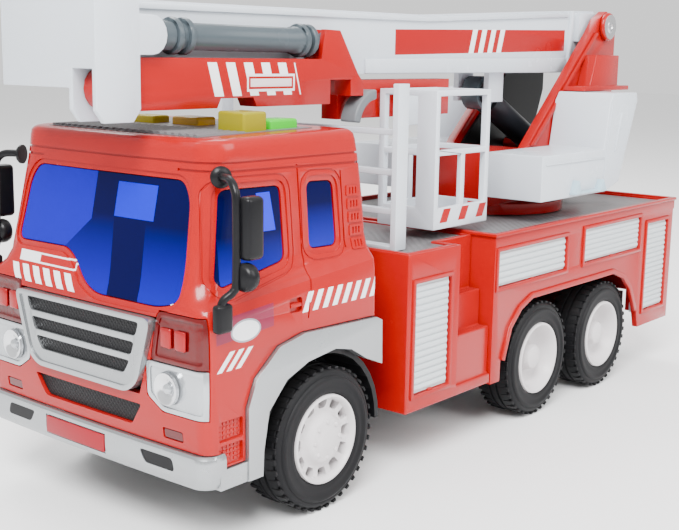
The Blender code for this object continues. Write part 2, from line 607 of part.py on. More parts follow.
def make_stick():
    """The folding stick beside the boom, with its ram and the basket carrier."""
    shape = arc(STICK_PIVOT, 6.0, 90, 270, 8) + [
        (35.5, 121.0), (37.0, 123.8), (50.5, 123.8), (52.0, 121.0), (86.3, 121.0), (86.3, 128.8),
        (96.8, 128.8), (96.8, 123.4), (103.6, 123.4), (103.6, 127.6), (100.6, 130.6), (91.0, 144.6),
        (83.6, 144.8), (82.0, 135.4), (4.0, 135.4),
    ]
    stick = prism("s", shape, "x", STICK_IN, STICK_OUT)
    join(stick, box("b", (5.0, 14.0), (97.4, 103.0), (123.6, 129.4)))
    join(stick, box("c", (5.0, 12.0), (98.6, 165.0), (115.2, 128.4)))
    cut(stick, rod("h", (9, *STICK_PIVOT), (22, *STICK_PIVOT), 2.4, 16))
    cut(stick, rod("h", (0, *BASKET_PIVOT), (14, *BASKET_PIVOT), 2.9, 16))
    cut(stick, box("n", (14.2, 17.4), (70.0, 94.0), (136.2, 150.0)))
    finish(stick, "stick_boom", RED, (15.8, *STICK_PIVOT))
    way = Vector((0.0, RAM_REAR[0] - RAM_FRONT[0], RAM_REAR[1] - RAM_FRONT[1])).normalized()
    start = Vector((15.8, *RAM_FRONT))
    profile = ((6.0, 2.3), (65.0, 2.3), (65.0, 4.3), (61.0, 4.3), (60.6, 3.9), (10.0, 3.9), (9.6, 4.3),
               (6.0, 4.3))
    tube = lathe("t", profile, start, way, 20, True)
    join(tube, rod("e", (12.5, *RAM_FRONT), (19.1, *RAM_FRONT), 4.3, 16))
    join(tube, lathe("x", ((3.0, 3.4), (8.0, 3.4)), start, way, 16))
    cut(tube, rod("h", (9, *RAM_FRONT), (21, *RAM_FRONT), 1.9, 12))
    finish(tube, "stick_barrel", GREY, (15.8, *RAM_FRONT))
    piston = rod("r", start + way * 12.0, start + way * 71.0, 1.95, 14)
    join(piston, rod("n", start + way * 70.0, start + way * 76.0, 1.15, 12))
    join(piston, rod("e", (14.6, *RAM_REAR), (17.0, *RAM_REAR), 2.9, 16))
    finish(piston, "stick_rod", GREY, (15.8, *RAM_REAR))


def make_basket():
    """The open rescue basket, level on its pin."""
    xs, ys, zs = (13.0, 37.5), (121.0, 155.0), (77.4, 125.4)
    basket = box("f", xs, ys, (zs[0], 79.6))
    for x in (xs[0], xs[1] - 2.4):
        for y in (ys[0], ys[1] - 2.4):
            join(basket, box("p", (x, x + 2.4), (y, y + 2.4), (78.0, zs[1])))
    for z0, z1 in ((78.0, 85.0), (103.0, 105.0), (zs[1] - 2.0, zs[1])):
        rail = box("o", xs, ys, (z0, z1))
        cut(rail, box("i", (xs[0] + 1.8, xs[1] - 1.8), (ys[0] + 1.8, ys[1] - 1.8), (z0 - 1, z1 + 1)))
        join(basket, rail)
    for x in (xs[0], xs[1] - 1.8):
        join(basket, box("m", (x, x + 1.8), (137.0, 139.4), (80.0, 104.0)))
    join(basket, box("w", (29.5, xs[1]), (ys[0], ys[0] + 1.8), (80.0, zs[1])))
    join(basket, box("k", (xs[0], xs[0] + 2.4), (131.0, 145.0), (112.0, zs[1] - 1.0)))
    join(basket, rod("q", (6.4, *BASKET_PIVOT), (14.0, *BASKET_PIVOT), 2.5, 16))
    finish(basket, "basket", WHITE, (12.6, *BASKET_PIVOT))


def main():
    """Clears the scene and makes every node."""
    for obj in list(bpy.data.objects):
        bpy.data.objects.remove(obj)
    make_chassis()
    make_cab()
    make_glazing()
    make_front()
    make_roof()
    make_mirrors()
    make_mid_body()
    make_rear_body()
    make_wheels()
    make_turntable()
    make_boom()
    make_stick()
    make_basket()


main()
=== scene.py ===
"""Looks of a toy platform fire engine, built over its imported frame.

Drawing sizes are millimetres with y = 0 at the bumper and z = 0 on the ground, and become metres in the
row frame as each mesh is made. Every sub-assembly is a class that holds its sizes and builds its pieces.
"""

from __future__ import annotations

import logging
import math
from dataclasses import dataclass, field
from enum import Enum
from functools import partial
from typing import Iterable, Sequence

import bmesh
import bpy
from mathutils import Matrix, Vector


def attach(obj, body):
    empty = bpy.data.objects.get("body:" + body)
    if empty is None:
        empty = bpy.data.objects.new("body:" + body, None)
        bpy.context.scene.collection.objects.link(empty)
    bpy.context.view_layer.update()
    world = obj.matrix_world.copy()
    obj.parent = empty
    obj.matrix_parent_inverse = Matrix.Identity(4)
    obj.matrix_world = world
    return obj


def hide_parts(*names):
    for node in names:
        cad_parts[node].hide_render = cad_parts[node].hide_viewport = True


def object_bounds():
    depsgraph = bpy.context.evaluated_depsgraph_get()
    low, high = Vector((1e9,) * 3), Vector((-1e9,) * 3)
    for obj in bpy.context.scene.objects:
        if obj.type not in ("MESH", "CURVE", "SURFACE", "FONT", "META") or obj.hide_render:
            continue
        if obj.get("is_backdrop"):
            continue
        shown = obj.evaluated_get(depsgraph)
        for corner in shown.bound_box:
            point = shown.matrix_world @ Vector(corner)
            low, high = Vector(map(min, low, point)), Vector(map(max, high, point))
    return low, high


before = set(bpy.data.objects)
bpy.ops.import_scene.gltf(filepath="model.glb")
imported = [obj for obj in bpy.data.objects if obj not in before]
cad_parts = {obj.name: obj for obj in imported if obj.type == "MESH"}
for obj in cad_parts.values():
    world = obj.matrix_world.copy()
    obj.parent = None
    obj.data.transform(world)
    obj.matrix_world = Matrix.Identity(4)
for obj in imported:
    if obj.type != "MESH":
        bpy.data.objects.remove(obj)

LOG = logging.getLogger("fire_engine")
MM = 0.001
MID_Y = 142.0
SIDES = ("left", "right")
Point = tuple[float, float, float]
Flat = tuple[float, float]
Outline = Sequence[Flat]


class Axis(Enum):
    """A row axis along which a shape is extruded or seen."""

    X = 0
    Y = 1
    Z = 2


class Mark(Enum):
    """The kinds of printed mark and painted reflection."""

    PATCH = "patch"
    BARS = "bars"
    OVAL = "oval"


class Relief(Enum):
    """The kinds of moulded surface relief."""

    NONE = "none"
    TREAD = "tread"
    WEAVE = "weave"


@dataclass(frozen=True)
class Decal:
    """A printed mark or a painted reflection, seen along one axis.

    Attributes:
        mark: Kind of mark.
        axis: Axis it is printed along.
        low: Lowest corner of its space, in drawing millimetres.
        high: Highest corner of its space.
        colour: Linear colour.
        slant: Lean backwards, in millimetres along for each millimetre up.
        rise: Climb of the print, in millimetres up for each millimetre along.
        fade: Let the colour fade out towards the top.
        period: Distance between bars, in millimetres.
        duty: Share of a period that is printed.
    """

    mark: Mark
    axis: Axis
    low: Point
    high: Point
    colour: Point
    slant: float = 0.0
    rise: float = 0.0
    fade: bool = False
    period: float = 5.0
    duty: float = 0.5


@dataclass(frozen=True)
class Finish:
    """A surface finish.

    Attributes:
        name: Name of the material.
        colour: Linear base colour.
        rough: Roughness.
        metal: Metallic share.
        coat: Clear coat weight.
        shine: Specular level, where 0.5 is plain plastic.
        grain: Depth of the moulded grain, in millimetres.
        grain_scale: Grain cells for each metre.
        tone: Strength of slow colour variation.
        dust: Strength of light dust on faces that look up.
        relief: Repeated relief pattern.
        relief_depth: Depth of that pattern, in millimetres.
        decals: Printed marks and painted reflections.
    """

    name: str
    colour: Point
    rough: float = 0.35
    metal: float = 0.0
    coat: float = 0.0
    shine: float = 0.22
    grain: float = 0.01
    grain_scale: float = 900.0
    tone: float = 0.04
    dust: float = 0.03
    relief: Relief = Relief.NONE
    relief_depth: float = 0.2
    decals: tuple[Decal, ...] = ()


WHITE_INK = (0.86, 0.87, 0.88)
RED_INK = (0.33, 0.0012, 0.003)
BODY_RED = (0.33, 0.0006, 0.001)


def both_sides(mark: Mark, low: Point, high: Point, colour: Point, **more: float) -> tuple[Decal, Decal]:
    """Makes a decal for the left side and its match on the right.

    Args:
        mark: Kind of mark.
        low: Lowest corner on the left side.
        high: Highest corner on the left side.
        colour: Linear colour.
        **more: Further decal fields.

    Returns:
        The two decals.
    """
    left = Decal(mark, Axis.X, low, high, colour, **more)
    right = Decal(mark, Axis.X, (-high[0], low[1], low[2]), (-low[0], high[1], high[2]), colour, **more)
    return left, right


SIDE_MARKS = (
    *both_sides(
        Mark.BARS, (44.0, 39.4, 64.0), (60.0, 72.4, 69.7), WHITE_INK, slant=-0.5, period=4.4, duty=0.52
    ),
    *both_sides(Mark.PATCH, (44.0, 5.2, 60.6), (60.0, 27.4, 67.2), (0.2, 0.006, 0.035), rise=0.08),
    *both_sides(Mark.OVAL, (44.0, 10.6, 59.8), (60.0, 22.2, 66.2), (0.3, 0.3, 0.34)),
    *both_sides(Mark.OVAL, (44.0, 11.2, 60.3), (60.0, 21.6, 65.7), (0.8, 0.81, 0.83)),
    *both_sides(
        Mark.BARS, (44.0, 5.2, 53.0), (60.0, 15.4, 58.2), WHITE_INK, slant=-0.96, period=3.5, duty=0.55
    ),
)
FRONT_MARKS = (
    Decal(Mark.PATCH, Axis.Y, (-34.5, -5.0, 73.6), (-6.6, 8.0, 76.8), (0.82, 0.82, 0.84)),
    Decal(Mark.PATCH, Axis.Y, (-24.0, -5.0, 74.1), (-7.1, 8.0, 76.3), RED_INK),
    Decal(
        Mark.BARS, Axis.Y, (-34.2, -5.0, 67.9), (-3.4, 8.0, 72.6), WHITE_INK, slant=0.8, period=5.3,
        duty=0.6
    ),
)
PAINT_RED = Finish("red_gloss_moulding", BODY_RED, 0.2, shine=0.35, decals=SIDE_MARKS + FRONT_MARKS)
PLAIN_RED = Finish("red_moulding", BODY_RED, 0.24, shine=0.3)
BODY_WHITE = Finish("white_moulding", (0.54, 0.58, 0.63), 0.26, tone=0.03)
SILVER = Finish("silver_lacquer", (0.36, 0.375, 0.385), 0.26, metal=0.85, grain=0.005, grain_scale=2500)
CHARCOAL = Finish("charcoal_moulding", (0.005, 0.005, 0.006), 0.3, shine=0.16, grain=0.012)
DARK_WEAVE = Finish(
    "dark_weave", (0.008, 0.008, 0.009), 0.45, shine=0.15, relief=Relief.WEAVE, relief_depth=0.35
)
DARK_RIBS = Finish("dark_ribs", (0.13, 0.12, 0.125), 0.32)
# The tread material paints its raised tears lighter, a painted highlight on the relief.
TREAD_GREY = Finish(
    "tread_plate", (0.11, 0.106, 0.11), 0.36, relief=Relief.TREAD, relief_depth=0.6, tone=0.35
)
RAM_GREY = Finish("ram_grey_moulding", (0.055, 0.07, 0.08), 0.26)
RAM_DARK = Finish("ram_dark_moulding", (0.01, 0.011, 0.014), 0.32)
LINK_GREY = Finish("link_grey_moulding", (0.13, 0.14, 0.15), 0.28)
TYRE = Finish("tyre_rubber", (0.007, 0.007, 0.008), 0.5, shine=0.12, grain=0.03, grain_scale=1500, tone=0.1)
RIM = Finish("rim_moulding", (0.6, 0.57, 0.575), 0.3)
SHUTTER = Finish("shutter_silver", (0.56, 0.6, 0.62), 0.34, metal=0.1, tone=0.05)
FOOT_PALE = Finish("pale_blue_moulding", (0.36, 0.5, 0.58), 0.25)
STEEL = Finish("plated_steel", (0.6, 0.6, 0.61), 0.28, metal=1.0, grain=0.004, grain_scale=4000)
KEY_YELLOW = Finish("key_yellow", (0.48, 0.36, 0.006), 0.25)
KEY_OLIVE = Finish("key_olive", (0.25, 0.22, 0.002), 0.22)
KEY_ORANGE = Finish("key_orange", (0.5, 0.26, 0.005), 0.25)
KEY_GREEN = Finish("key_green", (0.02, 0.5, 0.004), 0.25)
BOARD = Finish("circuit_green", (0.02, 0.2, 0.06), 0.4, tone=0.15)
NAVY = (0.0008, 0.001, 0.035)
REFLECTION_BRIGHT_BLUE = (0.004, 0.006, 0.5)
REFLECTION_MID_BLUE = (0.006, 0.004, 0.32)
# Painted reflections on the windscreen: lighter blue patches over the navy glass, the lowest two fading out
# towards the top.
SCREEN_REFLECTIONS = (
    Decal(Mark.PATCH, Axis.Y, (-40.0, -5.0, 89.0), (-3.8, 20.0, 106.0), REFLECTION_MID_BLUE),
    Decal(Mark.PATCH, Axis.Y, (-70.0, -5.0, 78.0), (-16.5, 20.0, 89.01), REFLECTION_MID_BLUE, slant=-1.15),
    Decal(Mark.PATCH, Axis.Y, (6.0, -5.0, 90.8), (22.5, 20.0, 100.6), REFLECTION_BRIGHT_BLUE),
    Decal(Mark.PATCH, Axis.Y, (-14.0, -5.0, 66.0), (9.0, 20.0, 91.0), REFLECTION_MID_BLUE, slant=0.12, fade=True),
    Decal(Mark.PATCH, Axis.Y, (22.0, -5.0, 66.0), (40.0, 20.0, 90.0), REFLECTION_MID_BLUE, slant=0.1, fade=True),
)
SCREEN = Finish("mirror_blue_screen", NAVY, 0.1, shine=0.08, grain=0.0, dust=0.0, decals=SCREEN_REFLECTIONS)
# Painted reflections on the side panes: a bright blue slanted streak and two lighter patches that fade out
# towards the top.
GLASS_REFLECTIONS = (
    *both_sides(Mark.PATCH, (30.0, 29.0, 88.0), (60.0, 34.5, 99.0), (0.012, 0.016, 0.62), slant=0.2),
    *both_sides(Mark.PATCH, (30.0, 12.0, 74.0), (60.0, 38.0, 88.0), (0.008, 0.01, 0.3), fade=True),
    *both_sides(Mark.PATCH, (30.0, 47.0, 80.0), (60.0, 61.0, 94.0), (0.008, 0.01, 0.3), fade=True),
)
SIDE_GLASS = Finish("mirror_blue_glazing", NAVY, 0.1, shine=0.08, grain=0.0, dust=0.0, decals=GLASS_REFLECTIONS)
CLEAR = Finish(
    "clear_lens", (0.42, 0.44, 0.46), 0.12, metal=0.6, coat=0.5, grain=0.12, grain_scale=420, tone=0.5
)
BRIGHT = Finish("lamp_reflector", (0.7, 0.71, 0.73), 0.12, metal=0.9, grain=0.0)
LENS_RED = Finish(
    "red_lens", (0.085, 0.0003, 0.0008), 0.1, coat=0.35, grain=0.14, grain_scale=380, tone=0.9
)
# Brighter red for the inserts in the red lamps: a painted highlight on the lens.
RED_LENS_HIGHLIGHT = Finish(
    "bright_red_reflector", (0.3, 0.003, 0.006), 0.12, metal=0.3, coat=0.3, grain=0.08, grain_scale=500
)
LENS_DEEP = Finish("deep_red_lens", (0.09, 0.0006, 0.0015), 0.12, coat=0.4, grain=0.0)
PLATE_RED = Finish("plate_red", (0.28, 0.005, 0.014), 0.35)
BOOM_MARKS = (
    *both_sides(Mark.PATCH, (9.0, 131.0, 137.0), (30.0, 254.0, 146.0), RED_INK, rise=0.022),
    *both_sides(
        Mark.BARS, (9.0, 178.5, 138.0), (30.0, 204.5, 147.2), WHITE_INK, slant=-0.3, rise=0.02, period=6.7,
        duty=0.5
    ),
)
BOOM_WHITE = Finish("boom_white_moulding", (0.54, 0.58, 0.63), 0.26, tone=0.03, decals=BOOM_MARKS)
STICK_MARKS = (
    Decal(
        Mark.BARS, Axis.X, (15.0, 34.5, 124.4), (30.0, 72.0, 134.2), WHITE_INK, slant=0.3, period=7.4,
        duty=0.5
    ),
    Decal(Mark.PATCH, Axis.X, (15.0, 47.8, 125.6), (30.0, 69.0, 130.8), (0.78, 0.78, 0.8)),
    Decal(Mark.PATCH, Axis.X, (15.0, 48.5, 126.3), (30.0, 68.3, 130.1), RED_INK),
    Decal(Mark.PATCH, Axis.X, (15.0, 49.3, 127.0), (30.0, 67.5, 129.4), (0.72, 0.6, 0.6)),
)
STICK_RED = Finish("stick_red_moulding", BODY_RED, 0.22, shine=0.3, decals=STICK_MARKS)
BASKET_MARKS = (
    Decal(
        Mark.BARS, Axis.X, (30.0, 124.6, 79.6), (60.0, 154.2, 84.4), RED_INK, slant=-0.5, period=11.4,
        duty=0.4
    ),
)
BASKET_WHITE = Finish("basket_white_moulding", (0.56, 0.6, 0.65), 0.26, tone=0.03, decals=BASKET_MARKS)


def put(point: Sequence[float], local: bool = False) -> Vector:
    """Turns a drawing point into the row frame, or only into metres.

    Args:
        point: Drawing point in millimetres.
        local: Leave out the shift to the row frame.

    Returns:
        The point in metres.
    """
    return Vector((point[0] * MM, (point[1] - (0.0 if local else MID_Y)) * MM, point[2] * MM))


def new_mesh(
        name: str, points: Iterable[Point], faces: Iterable[Sequence[int]], local: bool = False
) -> bpy.types.Object:
    """Makes a closed mesh object with its faces out.

    Args:
        name: Object name.
        points: Drawing points.
        faces: Corner indices of each face.
        local: Keep the points about the origin.

    Returns:
        The new object.
    """
    data = bpy.data.meshes.new(name)
    data.from_pydata([put(p, local) for p in points], [], [tuple(f) for f in faces])
    obj = bpy.data.objects.new(name, data)
    bpy.context.scene.collection.objects.link(obj)
    work = bmesh.new()
    work.from_mesh(data)
    bmesh.ops.recalc_face_normals(work, faces=work.faces)
    work.to_mesh(data)
    work.free()
    return obj


def grow(outline: Outline, distance: float) -> list[Flat]:
    """Offsets a closed outline.

    Args:
        outline: Corners in order.
        distance: Offset, outwards if positive.

    Returns:
        The new corners.
    """
    points = list(outline)
    area = sum(a[0] * b[1] - b[0] * a[1] for a, b in zip(points, points[1:] + points[:1]))
    side = 1.0 if area > 0 else -1.0
    found = []
    for i, here in enumerate(points):
        first = (Vector(here) - Vector(points[i - 1])).normalized()
        second = (Vector(points[(i + 1) % len(points)]) - Vector(here)).normalized()
        out_a = Vector((first.y, -first.x)) * side
        out_b = Vector((second.y, -second.x)) * side
        middle = (out_a + out_b).normalized()
        found.append(tuple(Vector(here) + middle * (distance / max(0.35, middle.dot(out_a)))))
    return found


def fillet(outline: Outline, radius: float, steps: int = 5) -> list[Flat]:
    """Rounds every corner of an outline.

    Args:
        outline: Corners in order.
        radius: Largest distance kept from each corner along its sides.
        steps: Points on each round corner.

    Returns:
        The rounded outline.
    """
    points = [Vector(p) for p in outline]
    found = []
    for i, here in enumerate(points):
        before = points[i - 1] - here
        after = points[(i + 1) % len(points)] - here
        reach = min(radius, before.length * 0.45, after.length * 0.45)
        start = here + before.normalized() * reach
        end = here + after.normalized() * reach
        for k in range(steps + 1):
            t = k / steps
            found.append(tuple(start * (1 - t) ** 2 + here * 2 * t * (1 - t) + end * t**2))
    return found


def band(path: Outline, width: float) -> list[Flat]:
    """Closes an open path with a copy of itself moved sideways.

    Args:
        path: Points of the path in order.
        width: Distance of the copy.

    Returns:
        The outline of the band.
    """
    points = [Vector(p) for p in path]
    moved = []
    for i, here in enumerate(points):
        way = (points[min(i + 1, len(points) - 1)] - points[max(i - 1, 0)]).normalized()
        moved.append(tuple(here + Vector((way.y, -way.x)) * width))
    return [tuple(p) for p in points] + moved[::-1]


def arc(centre: Flat, radius: float, first: float, last: float, steps: int) -> list[Flat]:
    """Points of an arc.

    Args:
        centre: Centre in the plane.
        radius: Radius.
        first: First angle in degrees.
        last: Last angle in degrees.
        steps: Number of steps.

    Returns:
        The points in order.
    """
    turns = [math.radians(first + (last - first) * i / steps) for i in range(steps + 1)]
    return [(centre[0] + radius * math.cos(t), centre[1] + radius * math.sin(t)) for t in turns]


def loft(name: str, rings: Sequence[Sequence[Point]], local: bool = False) -> bpy.types.Object:
    """Joins rings of equally many points into one capped solid.

    Args:
        name: Object name.
        rings: Rings of points in order.
        local: Keep the points about the origin.

    Returns:
        The new object.
    """
    count = len(rings[0])
    points = [p for ring in rings for p in ring]
    faces: list[tuple[int, ...]] = [tuple(range(count)), tuple(range(len(points) - count, len(points)))]
    for level in range(len(rings) - 1):
        for i in range(count):
            j = (i + 1) % count
            low = level * count
            faces.append((low + i, low + j, low + count + j, low + count + i))
    return new_mesh(name, points, faces, local)


def prism(
        name: str, outline: Outline, axis: Axis, low: float, high: float, local: bool = False
) -> bpy.types.Object:
    """Extrudes an outline along an axis.

    Args:
        name: Object name.
        outline: Corners in the other two coordinates.
        axis: Axis of the extrusion.
        low: First level.
        high: Last level.
        local: Keep the points about the origin.

    Returns:
        The new object.
    """
    def at(u: float, v: float, w: float) -> Point:
        """Puts two outline coordinates and a level in their places.

        Args:
            u: First coordinate of the outline.
            v: Second coordinate of the outline.
            w: Level along the axis.

        Returns:
            The drawing point.
        """
        if axis is Axis.X:
            return (w, u, v)
        return (u, w, v) if axis is Axis.Y else (u, v, w)

    return loft(name, [[at(u, v, w) for u, v in outline] for w in (low, high)], local)


def box(name: str, xs: Flat, ys: Flat, zs: Flat, local: bool = False) -> bpy.types.Object:
    """Makes a box from its spans.

    Args:
        name: Object name.
        xs: Span along x.
        ys: Span along y.
        zs: Span along z.
        local: Keep the points about the origin.

    Returns:
        The new object.
    """
    outline = [(xs[0], ys[0]), (xs[1], ys[0]), (xs[1], ys[1]), (xs[0], ys[1])]
    return prism(name, outline, Axis.Z, zs[0], zs[1], local)


def lathe(name: str, profile: Sequence[Flat], start: Point, way: Point, steps: int = 48, ring: bool = False,
          local: bool = False) -> bpy.types.Object:
    """Turns a profile about a line.

    Args:
        name: Object name.
        profile: Points as distance along the line and radius.
        start: Start of the line.
        way: Direction of the line.
        steps: Sides of the turned shape.
        ring: Join the profile's ends instead of capping them.
        local: Keep the points about the origin.

    Returns:
        The new object.
    """
    axis = Vector(way).normalized()
    side = axis.cross(Vector((0, 0, 1)))
    side = side.normalized() if side.length > 0.1 else Vector((1, 0, 0))
    other = axis.cross(side)
    points: list[Point] = []
    rows: list[list[int]] = []
    for along, radius in profile:
        centre = Vector(start) + axis * along
        if radius < 1e-6:
            rows.append([len(points)] * steps)
            points.append(tuple(centre))
            continue
        rows.append(list(range(len(points), len(points) + steps)))
        for i in range(steps):
            turn = 2 * math.pi * i / steps
            points.append(tuple(centre + (side * math.cos(turn) + other * math.sin(turn)) * radius))
    pairs = list(zip(rows, rows[1:])) + ([(rows[-1], rows[0])] if ring else [])
    faces = []
    for first, second in pairs:
        for i in range(steps):
            j = (i + 1) % steps
            face = tuple(dict.fromkeys((first[i], first[j], second[j], second[i])))
            if len(face) > 2:
                faces.append(face)
    if not ring:
        faces += [
            tuple(row) for row,
            radius in ((rows[0], profile[0][1]), (rows[-1], profile[-1][1])) if radius > 1e-6
        ]
    return new_mesh(name, points, faces, local)


def rod(
        name: str, start: Point, end: Point, radius: float, steps: int = 28, local: bool = False
) -> bpy.types.Object:
    """Makes a round bar with softened ends.

    Args:
        name: Object name.
        start: First end.
        end: Last end.
        radius: Radius.
        steps: Sides.
        local: Keep the points about the origin.

    Returns:
        The new object.
    """
    way = Vector(end) - Vector(start)
    soft = min(0.35, radius * 0.2, way.length * 0.2)
    profile = (
        (0.0, radius - soft), (soft, radius), (way.length - soft, radius), (way.length, radius - soft)
    )
    return lathe(name, profile, start, tuple(way), steps, local=local)


def sweep(name: str, path: Sequence[Point], radius: float, steps: int = 14) -> bpy.types.Object:
    """Carries a round section along a smoothed path.

    Args:
        name: Object name.
        path: Points of the path.
        radius: Radius of the section.
        steps: Sides.

    Returns:
        The new object.
    """
    fine: list[Vector] = []
    points = [Vector(p) for p in path]
    for i in range(len(points) - 1):
        a, b = points[max(i - 1, 0)], points[i]
        c, d = points[i + 1], points[min(i + 2, len(points) - 1)]
        for k in range(5):
            t = k / 5
            fine.append(
                0.5 * (
                    2 * b + (c - a) * t + (
                        2 * a - 5 * b + 4 * c - d
                    ) * t**2 + (3 * b - a - 3 * c + d) * t**3
                )
            )
    fine.append(points[-1])
    rings = []
    for i, point in enumerate(fine):
        axis = (fine[min(i + 1, len(fine) - 1)] - fine[max(i - 1, 0)]).normalized()
        side = axis.cross(Vector((0, 1, 0.01))).normalized()
        other = axis.cross(side)
        turns = [2 * math.pi * k / steps for k in range(steps)]
        rings.append([tuple(point + (side * math.cos(t) + other * math.sin(t)) * radius) for t in turns])
    return loft(name, rings)


def applied(obj: bpy.types.Object) -> bpy.types.Object:
    """Turns an object's modifiers into plain mesh.

    Args:
        obj: Object with modifiers.

    Returns:
        The same object.

    Raises:
        RuntimeError: The modifiers left nothing of the mesh.
    """
    bpy.context.view_layer.update()
    graph = bpy.context.evaluated_depsgraph_get()
    data = bpy.data.meshes.new_from_object(obj.evaluated_get(graph))
    if not data.polygons:
        raise RuntimeError(f"{obj.name} has no faces left")
    obj.modifiers.clear()
    obj.data = data
    return obj


def combine(
        target: bpy.types.Object, others: Iterable[bpy.types.Object], operation: str
) -> bpy.types.Object:
    """Applies exact booleans and removes the helpers.

    Args:
        target: Object that is changed.
        others: Helper objects.
        operation: Name of the boolean operation.

    Returns:
        The target.
    """
    for other in others:
        step = target.modifiers.new("step", "BOOLEAN")
        step.operation = operation
        step.solver = "EXACT"
        step.object = other
        applied(target)
        bpy.data.objects.remove(other)
    return target


def join(target: bpy.types.Object, *others: bpy.types.Object) -> bpy.types.Object:
    """Unites helpers with the target.

    Args:
        target: Object that is changed.
        *others: Helpers, which are removed.

    Returns:
        The target.
    """
    return combine(target, others, "UNION")


def cut(target: bpy.types.Object, *others: bpy.types.Object) -> bpy.types.Object:
    """Takes helpers away from the target.

    Args:
        target: Object that is changed.
        *others: Helpers, which are removed.

    Returns:
        The target.
    """
    return combine(target, others, "DIFFERENCE")


def clip(target: bpy.types.Object, *others: bpy.types.Object) -> bpy.types.Object:
    """Keeps what target and helpers share.

    Args:
        target: Object that is changed.
        *others: Helpers, which are removed.

    Returns:
        The target.
    """
    return combine(target, others, "INTERSECT")


def duplicate(source: bpy.types.Object, name: str) -> bpy.types.Object:
    """Copies an object together with its mesh.

    Args:
        source: Object that is copied.
        name: Name of the copy.

    Returns:
        The copy.
    """
    obj = bpy.data.objects.new(name, source.data.copy())
    bpy.context.scene.collection.objects.link(obj)
    return obj


def mirrored(source: bpy.types.Object, name: str) -> bpy.types.Object:
    """Copies an object to the other side of the engine.

    Args:
        source: Object on the left.
        name: Name of the copy.

    Returns:
        The copy.
    """
    obj = duplicate(source, name)
    obj.data.transform(Matrix.Scale(-1, 4, (1, 0, 0)))
    obj.data.flip_normals()
    return obj


def pair(left: bpy.types.Object) -> tuple[bpy.types.Object, bpy.types.Object]:
    """Returns an object and its mirror image.

    Args:
        left: Object on the left.

    Returns:
        The object and its image.
    """
    return left, mirrored(left, left.name + "_r")


def from_node(node: str, name: str) -> bpy.types.Object:
    """Copies a CAD node's mesh with its flat faces made whole.

    Args:
        node: CAD node.
        name: Name of the copy.

    Returns:
        The copy.
    """
    obj = duplicate(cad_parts[node], name)
    work = bmesh.new()
    work.from_mesh(obj.data)
    bmesh.ops.remove_doubles(work, verts=work.verts, dist=2e-6)
    bmesh.ops.dissolve_limit(work, angle_limit=math.radians(0.8), verts=work.verts, edges=work.edges)
    bmesh.ops.recalc_face_normals(work, faces=work.faces)
    work.to_mesh(obj.data)
    work.free()
    return obj


def soften(obj: bpy.types.Object, width: float, segments: int = 3, angle: float = 32.0,
           miter: str = "MITER_ARC") -> bpy.types.Object:
    """Rounds the sharp edges of an object.

    Args:
        obj: Object.
        width: Width of the rounding in millimetres.
        segments: Steps across it.
        angle: Smallest edge angle in degrees.
        miter: How the roundings meet at an outer corner.

    Returns:
        The same object.
    """
    step = obj.modifiers.new("soft", "BEVEL")
    step.width = width * MM
    step.segments = segments
    step.limit_method = "ANGLE"
    step.angle_limit = math.radians(angle)
    step.miter_outer = miter
    return applied(obj)


